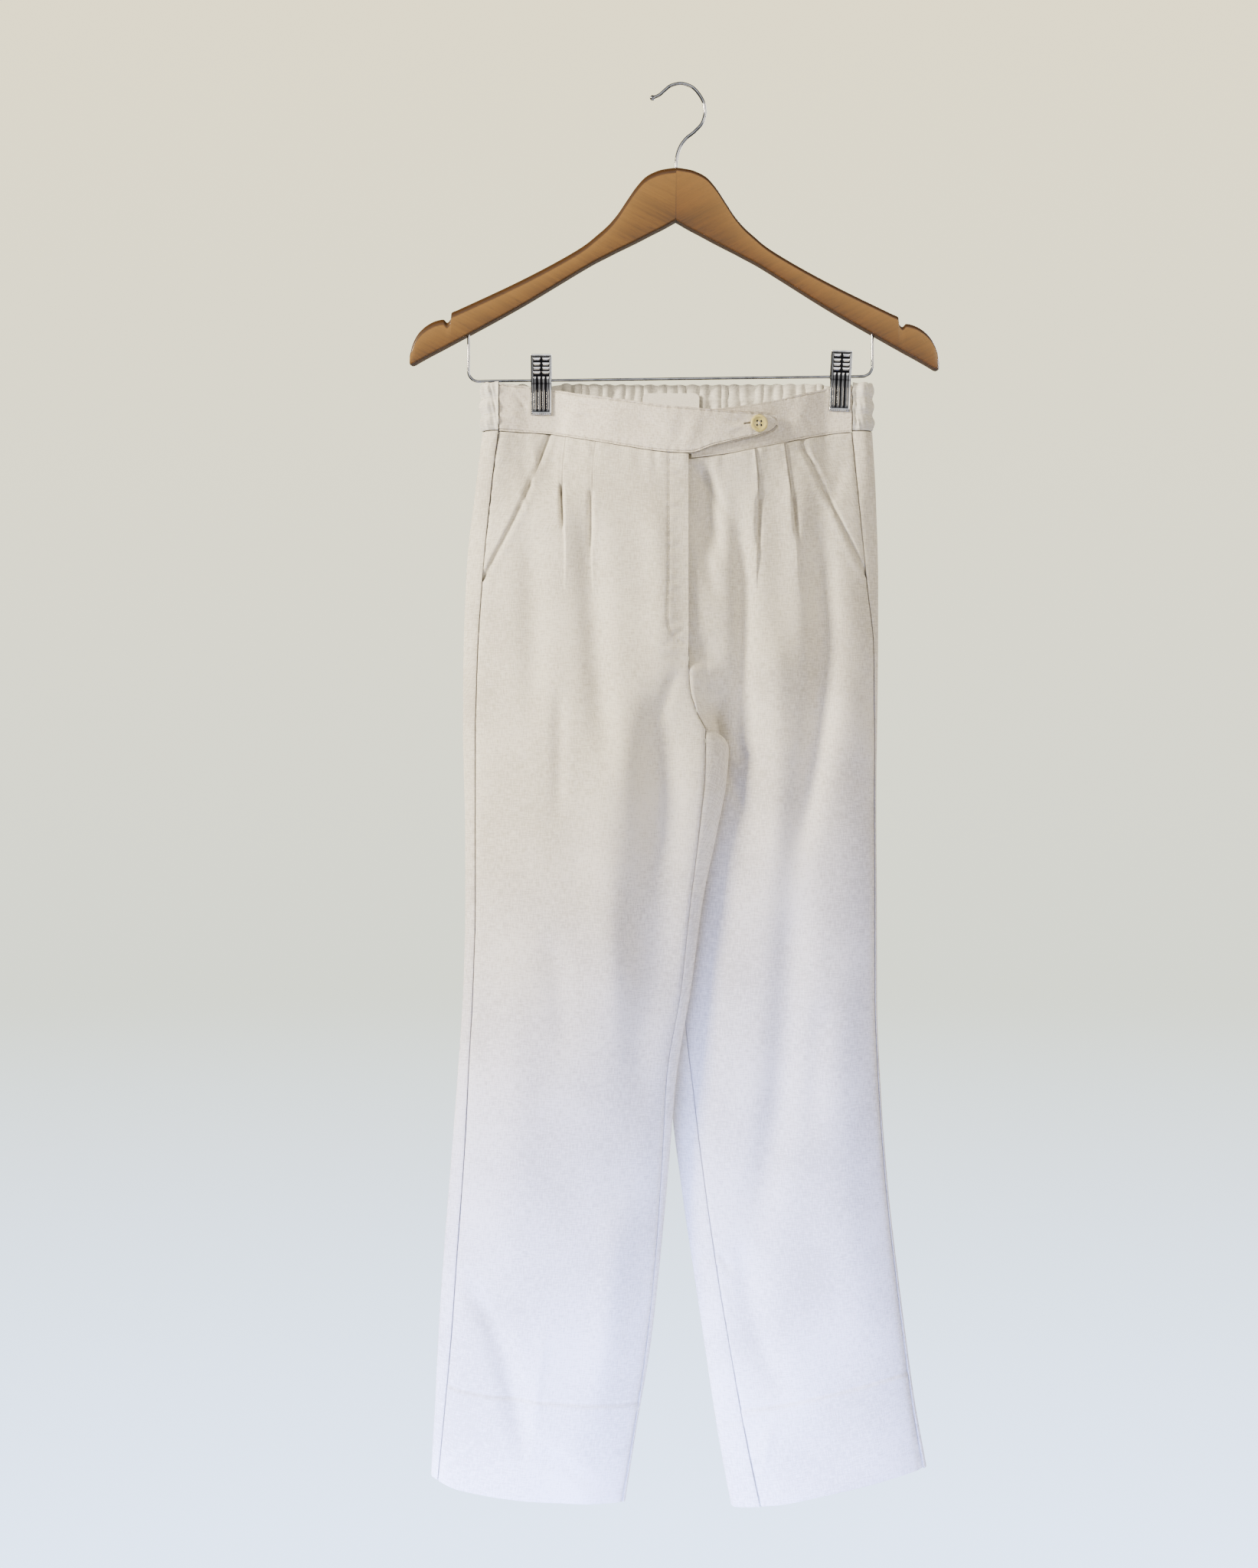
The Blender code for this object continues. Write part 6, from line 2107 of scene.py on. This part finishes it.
@dataclass
class HangerWires:
    """The hook's wire, with its ball end, and the bar that carries the clips."""

    hook_radius: float = 0.0014
    bar_radius: float = 0.0012
    corner: float = 0.0085
    right: tuple[float, float, float] = (-0.1782, -0.2490, -0.2010)  # x, height of the bar, where it ends
    left: tuple[float, float, float] = (0.1610, -0.2447, -0.1995)

    def bar_height(self, x: float) -> float:
        """Height of the bar's centre line at x."""
        return float(mix(self.right[1], self.left[1], (x - self.right[0]) / (self.left[0] - self.right[0])))

    def build(self) -> list[Object]:
        """Bends both wires.

        Returns:
            The pieces.
        """
        steps = np.concatenate([np.linspace(0, 0.9, 10), np.arange(1.0, 16.01, 0.125)])
        line = np.stack([follow(HOOK, "x", steps), 0 * steps, follow(HOOK, "z", steps)], axis=-1)
        ball = 1 + 0.75 * bump(steps - 0.08, 0.14)
        hook = put("hook_wire", wire("hook_wire", line, self.hook_radius * ball, 20), STEEL, "hook")
        turns = np.linspace(0, math.pi / 2, 14)
        right_x, right_z, right_end = self.right
        left_x, left_z, left_end = self.left
        points = [(right_x, right_end)]
        points += [(right_x + self.corner * (1 - math.cos(t)), right_z + self.corner * (1 - math.sin(t)))
                   for t in turns]
        points += [(x, self.bar_height(x)) for x in np.linspace(-0.160, 0.145, 40)]
        points += [(left_x - self.corner * (1 - math.cos(t)), left_z + self.corner * (1 - math.sin(t)))
                   for t in turns[::-1]]
        points += [(left_x, left_end)]
        line = np.array([(x, 0.0, z) for x, z in points])
        return [hook, put("bar_wire", wire("bar_wire", line, self.bar_radius, 16), STEEL, "bar")]


class Jaw(Enum):
    """The two jaws of a clip, each with the turn about Z that it is mounted at."""

    FRONT = 0.0
    BACK = math.pi


# A jaw's sheet from the finger end to the lip, as distance in front of and height over the bar.
CLIP_PROFILE = table(
    "step out up flange",
    (11.2, 20.3, 1.6), (10.4, 15, 2.4), (9, 6, 8.5), (8.3, 0, 11), (7.8, -3.2, 6), (7.4, -4.8, 1.3),
    (6.8, -12, 1.2), (6.8, -30.2, 1.2),
)


@dataclass
class Clip:
    """A spring clip: two pressed jaws round the bar, ribbed for the fingers above and fluted below."""

    name: str
    x: float
    tilt: float
    bar_z: float
    width: float = 0.0175
    sheet: float = 0.0009
    corner: float = 0.0010
    rib: float = 0.00055
    rib_rows: tuple[float, ...] = (0.0163, 0.0121, 0.0086, 0.0052)  # heights over the bar
    rib_columns: tuple[float, float] = (-0.0038, 0.0038)
    rib_half: tuple[float, float] = (0.0031, 0.0011)
    flutes: int = 4
    flute_pitch: float = 0.00358
    flute_span: tuple[float, float] = (0.0022, -0.0272)
    flute_height: float = 0.7  # as a share of the ribs'
    dome: float = 0.00025  # how far its face is bowed across
    scallop: float = 0.0005  # of the lip's edge
    # painted darker reflection on the flutes and, below, on the lip, as shares of full painted shade
    flute_shade: float = 0.86
    frame_shades: tuple[float, float] = (0.88, 0.5)  # painted darker reflection beside the flutes, to the viewer's left and right
    lip_shade: float = 0.45
    coil: float = 0.0030
    coil_wire: float = 0.00045

    def relief(self, x: Array, up: Array) -> Array:
        """How far the pressing stands out at (x, up): two columns of ribs over four flutes.

        Args:
            x: places across.
            up: their heights over the bar.

        Returns:
            The relief, 1 on a rib.
        """
        raised = np.zeros_like(x)
        for height in self.rib_rows:
            bulge = np.sqrt(np.clip(1 - ((up - height) / self.rib_half[1]) ** 2, 0, 1))
            for column in self.rib_columns:
                across = np.clip(1 - (np.abs(x - column) / self.rib_half[0]) ** 6, 0, 1)
                raised = np.maximum(raised, across * bulge)
        top, bottom = self.flute_span
        ends = ease(top, top - 0.0012, up) * ease(bottom, bottom + 0.0010, up)
        for i in range(self.flutes):
            centre = (i - (self.flutes - 1) / 2) * self.flute_pitch
            ridge = np.sqrt(np.clip(1 - (np.abs(x - centre) / (self.flute_pitch * 0.30)) ** 2, 0, 1))
            raised = np.maximum(raised, self.flute_height * ridge * ends)
        return raised

    def jaw(self, jaw: Jaw) -> Object:
        """Presses one jaw.

        Args:
            jaw: front or back. The back one fits inside the front one's sides.

        Returns:
            The piece.
        """
        width = self.width if jaw is Jaw.FRONT else self.width - 2 * (self.sheet + 0.0004)
        half, face_columns, side_columns = width / 2, 64, 5
        columns = face_columns + 2 * side_columns
        arc = np.linspace(0, math.pi / 2, side_columns)

        def shape(u: Array, v: Array) -> Points:
            """The outer face at (u, v): side, round corner, face, corner, side.

            Args:
                u: shares across.
                v: shares down.

            Returns:
                x, y and z.
            """
            i = np.rint(u * columns).astype(int)
            step = v * CLIP_PROFILE["step"][-1]
            up = follow(CLIP_PROFILE, "up", step)
            flange = np.maximum(follow(CLIP_PROFILE, "flange", step), self.corner + 0.0002)
            edge = np.minimum(i, columns - i)  # columns in from the nearer side's edge
            on_side = edge < side_columns
            turn = arc[np.clip(edge - 1, 0, side_columns - 1)]
            inset = np.where(edge == 0, 0.0, self.corner * (1 - np.cos(turn)))
            back = np.where(edge == 0, flange, self.corner * (1 - np.sin(turn)))
            share = np.clip((edge - side_columns) / (face_columns / 2), 0, 1)
            inset = np.where(on_side, inset, mix(self.corner, half, share))
            back = np.where(on_side, back, 0.0)
            x = np.where(i <= columns / 2, -half + inset, half - inset)
            dome = self.dome * (1 - (x / half) ** 2)
            pressed = self.rib * self.relief(x, up) * np.where(on_side, 0, 1)
            waves = np.abs(np.sin(x / self.flute_pitch * 2 * math.pi))
            lip = self.scallop * waves * ease(-0.0285, -0.0302, up)
            curl = 0.0006 * ease(-0.0292, -0.0302, up) - 0.0004 * bump(up - 0.0194, 0.0010)
            return x, back - follow(CLIP_PROFILE, "out", step) - dome - pressed + curl, up + lip

        def values(u: Array, v: Array) -> Marks:
            """How dark the painted shade is at each place: in the hollows, and as darker reflection on the
            flutes, the frame beside them and the lip.

            Args:
                u: shares across.
                v: shares down.

            Returns:
                The metal's shading attribute.
            """
            x, _, up = shape(u, v)
            below_end = ease(0.0190, 0.0178, up)
            inside = ease(half - 0.0006, half - 0.0022, np.abs(x)) * below_end
            fluted = self.flute_shade * ease(0.0004, -0.0004, up)
            beside = ease(half - 0.0026, half - 0.0014, np.abs(x))
            frame = np.where(x < 0, *self.frame_shades) * beside * below_end
            hollow = np.maximum(np.maximum(1 - self.relief(x, up), fluted) * inside, frame)
            return {"hollow": mix(hollow, self.lip_shade, ease(-0.0276, -0.0284, up))}

        name = f"{self.name}_{jaw.name.lower()}"
        mesh = cloth_shell(f"{name}_jaw", columns, 130, shape, self.sheet, 1, rim=0.2, values=values,
                           near_edge=1.0)
        turned = Matrix.Rotation(self.tilt, 4, "Y") @ Matrix.Rotation(jaw.value, 4, "Z")
        mesh.transform(Matrix.Translation((self.x, 0.0, self.bar_z)) @ turned)
        return put(f"{name}_jaw", mesh, CHROME, name)

    def spring(self) -> Object:
        """Winds the spring round the bar, with a leg up each jaw.

        Returns:
            The piece.
        """
        half = self.width / 2 - 2 * self.sheet - 0.0016
        turns = np.linspace(0, 7 * 2 * math.pi, 7 * 20)
        along = np.linspace(-half, half, len(turns))
        coil = np.stack([along, self.coil * np.cos(turns), self.coil * np.sin(turns)], axis=-1)
        leg = np.linspace(0.2, 1.0, 5)[:, None]
        start = coil[0] + leg[::-1] * np.array([0.0, 0.0028, 0.0110])
        end = coil[-1] + leg * np.array([0.0, -0.0060 - 2 * self.coil, 0.0110]) * (1, 0.75, 1)
        mesh = wire(f"{self.name}_spring_coil", np.concatenate([start, coil, end]), self.coil_wire, 8)
        mesh.transform(Matrix.Translation((self.x, 0.0, self.bar_z)) @ Matrix.Rotation(-0.0125, 4, "Y"))
        return put(f"{self.name}_spring_coil", mesh, STEEL, f"{self.name}_spring")

    def build(self) -> list[Object]:
        """Makes both jaws and the spring."""
        return [self.jaw(Jaw.FRONT), self.jaw(Jaw.BACK), self.spring()]


# ---------------------------------------------------------------- stitching


@dataclass
class Stitching:
    """The rows of thread that show: round the front bands, through the elastic, and down the fly."""

    band: Waistband
    elastic_stitch: tuple[float, float] = (0.0026, 0.0008)  # a stitch and the gap after it

    def sewn(self, name: str, bm: BMesh) -> Object:
        """The piece that these stitches make."""
        return put(name, finish_mesh(name, bm, outward=False), THREAD)

    def bands(self) -> Object:
        """Topstitching along both edges of the front bands, and round the tab's end.

        Returns:
            The piece.
        """
        bm = bmesh.new()
        inset = self.band.stitch_inset
        for shape, first, last in ((self.band.right_shape, 0.005, 0.94), (self.band.left_shape, 0.55, 0.995)):
            u = np.linspace(first, last, 400)
            for v in (inset, 1 - inset):
                line, normals = on_shape(shape, u, np.full_like(u, v), 1)
                stitch_row(bm, line, normals)
        turn = np.linspace(0, 1, 40)
        u = 0.94 + 0.05 * np.sin(turn * math.pi)
        line, normals = on_shape(self.band.right_shape, u, mix(inset, 1 - inset, turn), 1)
        stitch_row(bm, line, normals)
        return self.sewn("waistband_topstitching", bm)

    def channels(self) -> Object:
        """Two rows through the elastic band, between its three channels.

        Returns:
            The piece.
        """
        bm = bmesh.new()
        u = np.linspace(0.004, 0.996, 3000)
        for v in (1 / 3, 2 / 3):
            line, normals = on_shape(self.band.elastic_shape, u, np.full_like(u, v), -1)
            stitch_row(bm, line, normals, *self.elastic_stitch)
            stitch_row(bm, line - normals * BAND, -normals, *self.elastic_stitch)
        return self.sewn("elastic_channel_stitching", bm)

    def fly(self) -> Object:
        """The curved row that holds the fly's facing.

        Returns:
            The piece.
        """
        bm = bmesh.new()
        z = np.linspace(FLY_STITCHING["z"][-1], FLY_STITCHING["z"][0], 500)
        x = follow(FLY_STITCHING, "x", z)
        y = front_y(RIGHT, x, z)
        line = np.stack([x, y, z], axis=-1)
        slope = (front_y(RIGHT, x + 0.001, z) - y) / 0.001
        normals = np.stack([slope, -np.ones_like(slope), 0 * slope], axis=-1)
        stitch_row(bm, line, normals / np.linalg.norm(normals, axis=1, keepdims=True))
        return self.sewn("fly_topstitching", bm)

    def build(self) -> list[Object]:
        """Sews every row."""
        return [self.bands(), self.channels(), self.fly()]


# ---------------------------------------------------------------- studio


@dataclass(frozen=True)
class Lamp:
    """A soft rectangular light."""

    name: str
    place: tuple[float, float, float]
    target: tuple[float, float, float]
    size: tuple[float, float]
    watts: float
    colour: str
    spread: float = 180.0  # degrees
    glossy: bool = True  # whether polished things mirror it

    def build(self) -> Object:
        """Hangs the lamp.

        Returns:
            The light.
        """
        data = bpy.data.lights.new(self.name, "AREA")
        data.shape, data.size, data.size_y = "RECTANGLE", *self.size
        data.energy, data.color = self.watts, linear(self.colour)[:3]
        data.spread, data.specular_factor = math.radians(self.spread), float(self.glossy)
        lamp = stand(self.name, data)
        lamp.location, lamp.visible_glossy = self.place, self.glossy
        lamp.rotation_euler = (Vector(self.target) - Vector(self.place)).to_track_quat("-Z", "Y").to_euler()
        return lamp


LAMPS = (
    Lamp("key", (-2.25, -1.05, 0.45), (0.0, 0.0, -0.55), (0.6, 0.6), 204.0, "#FFEFD2"),
    Lamp("fill", (1.5, -1.6, 0.40), (0.0, 0.0, -0.45), (1.0, 1.0), 32.0, "#FFECCE"),
    Lamp("window", (-0.35, -0.62, -1.32), (0.0, 0.0, -1.26), (1.1, 0.10), 25.0, "#98ACFF", 88.0, False),
    Lamp("rear", (1.2, 1.9, 0.3), (0.0, 0.0, -0.7), (1.2, 1.2), 55.0, "#F6F6FA"),
)


@dataclass
class Studio:
    """A pale floor, soft lights, a pale surround and the camera. None of it is part of the object."""

    floor_z: float = -1.43
    floor_size: tuple[float, float] = (2.6, 1.7)
    floor_y: float = -0.42
    camera: tuple[float, float, float] = (-0.0434, -2.0, -0.5871)
    view_height: float = 1.317  # what the frame shows at y = 0
    surround: tuple[tuple[float, str], ...] = ((0.35, "#C2DAFE"), (0.455, "#9CA094"), (0.66, "#B2A989"))
    shown: float = 4.6  # how bright the surround looks
    lit: tuple[tuple[float, str], ...] = ((0.35, "#D8D6D0"), (0.50, "#E6DCC6"), (0.70, "#EADFC8"))
    ambient: float = 0.46  # how bright it lights
    gloss: float = 2.1  # how bright the room in front of the object looks in polished metal
    room_front: tuple[float, float, float] = (0.0, -0.96, 0.28)  # the way to the room's brightest part
    room: tuple[tuple[float, str], ...] = (
        (0.0, "#0C0C0E"), (0.88, "#FFFFFF"), (0.45, "#161618"), (0.72, "#5A5A5C"),
    )
    window: str = "#E8E8E8"  # its pale side, to the wearer's left

    def lay_floor(self) -> None:
        """Lays the floor under the object, out of the camera's view."""
        bm = bmesh.new()
        bmesh.ops.create_grid(bm, x_segments=2, y_segments=2, size=0.5)
        bmesh.ops.scale(bm, vec=(*self.floor_size, 1), verts=bm.verts)
        bmesh.ops.translate(bm, vec=(0, self.floor_y, self.floor_z), verts=bm.verts)
        mesh = finish_mesh("studio_floor", bm, outward=False)
        mesh.materials.append(PaintedFloor("painted_floor", "").material())
        floor = stand("studio_floor", mesh)

    def paint_surround(self) -> None:
        """Warm above and cool below, as by a window. Polished metal mirrors a darker room in front."""
        world = bpy.data.worlds.new("surround")
        bpy.context.scene.world = world
        world.use_nodes = True
        tree = world.node_tree
        around = add(tree, "TexCoord").outputs["Generated"]
        way = add(tree, "SeparateXYZ", {0: around})
        height = add(tree, "MapRange", {"Value": way.outputs["Z"], "From Min": -1.0, "From Max": 1.0})
        pale, lit = (add(tree, "ValToRGB", {"Fac": height}, ramp=[low, high, middle])
                     for low, middle, high in (self.surround, self.lit))
        straight = add(tree, "VectorMath", {0: around, 1: self.room_front}, operation="DOT_PRODUCT")
        room = add(tree, "ValToRGB", {"Fac": straight}, ramp=self.room)
        panel = add(tree, "MapRange", {"Value": way.outputs["X"], "From Min": 0.72, "From Max": 0.90})
        fronted = add(tree, "Mix", {"Factor": panel, "A": room, "B": linear(self.window)}, data_type="RGBA")
        ray = add(tree, "LightPath")
        forward = add(tree, "MapRange", {"Value": way.outputs["Y"], "From Min": 0.25, "From Max": -0.05})
        mirrored = add(tree, "Math", {0: ray.outputs["Is Glossy Ray"], 1: forward}, operation="MULTIPLY")
        cast = add(tree, "Mix", {"Factor": mirrored, "A": lit, "B": fronted}, data_type="RGBA")
        direct = ray.outputs["Is Camera Ray"]
        seen = add(tree, "Mix", {"Factor": direct, "A": cast, "B": pale}, data_type="RGBA")
        glossy = add(tree, "MapRange", {"Value": mirrored, "To Min": self.ambient, "To Max": self.gloss})
        strength = add(tree, "MapRange", {"Value": direct, "To Min": glossy, "To Max": self.shown})
        feed(tree, tree.nodes["Background"], {"Color": seen, "Strength": strength})

    def build(self) -> None:
        """Sets up the whole studio."""
        self.lay_floor()
        self.paint_surround()
        for lamp in LAMPS:
            lamp.build()
        data = bpy.data.cameras.new("camera")
        data.lens = data.sensor_width / 2 / (self.view_height / 2 / -self.camera[1])
        data.clip_start, data.clip_end = 0.05, 50.0
        camera = stand("camera", data)
        camera.location, camera.rotation_euler = self.camera, (math.pi / 2, 0.0, 0.0)
        bpy.context.scene.camera = camera


def main() -> None:
    """Builds each sub-assembly in order."""
    logging.basicConfig(level=logging.INFO, format="%(message)s")
    Studio().build()
    Front(RIGHT, right_front_edge, (0.240, 0.905), 0.170).build()
    Front(LEFT, left_front_edge, (0.210, 0.905), 0.150).build()
    for side in (RIGHT, LEFT):
        Back(side, (0.235, 0.905), 0.180).build()
    for side in (RIGHT, LEFT):
        PocketFacing(side, (0.064, 0.132), 0.0050).build()
    band = Waistband()
    band.build()
    Label().build()
    Button().build()
    HangerArm("hanger_arm_right", -1, RIGHT_WOOD, 0.0060).build()
    HangerArm("hanger_arm_left", 1, LEFT_WOOD, 0.0040).build()
    wires = HangerWires()
    wires.build()
    Clip("clip_right", CLIP_RIGHT_X, 0.0, wires.bar_height(CLIP_RIGHT_X)).build()
    Clip("clip_left", CLIP_LEFT_X, math.radians(2), wires.bar_height(CLIP_LEFT_X)).build()
    Stitching(band).build()


if __name__ == "__main__":
    main()
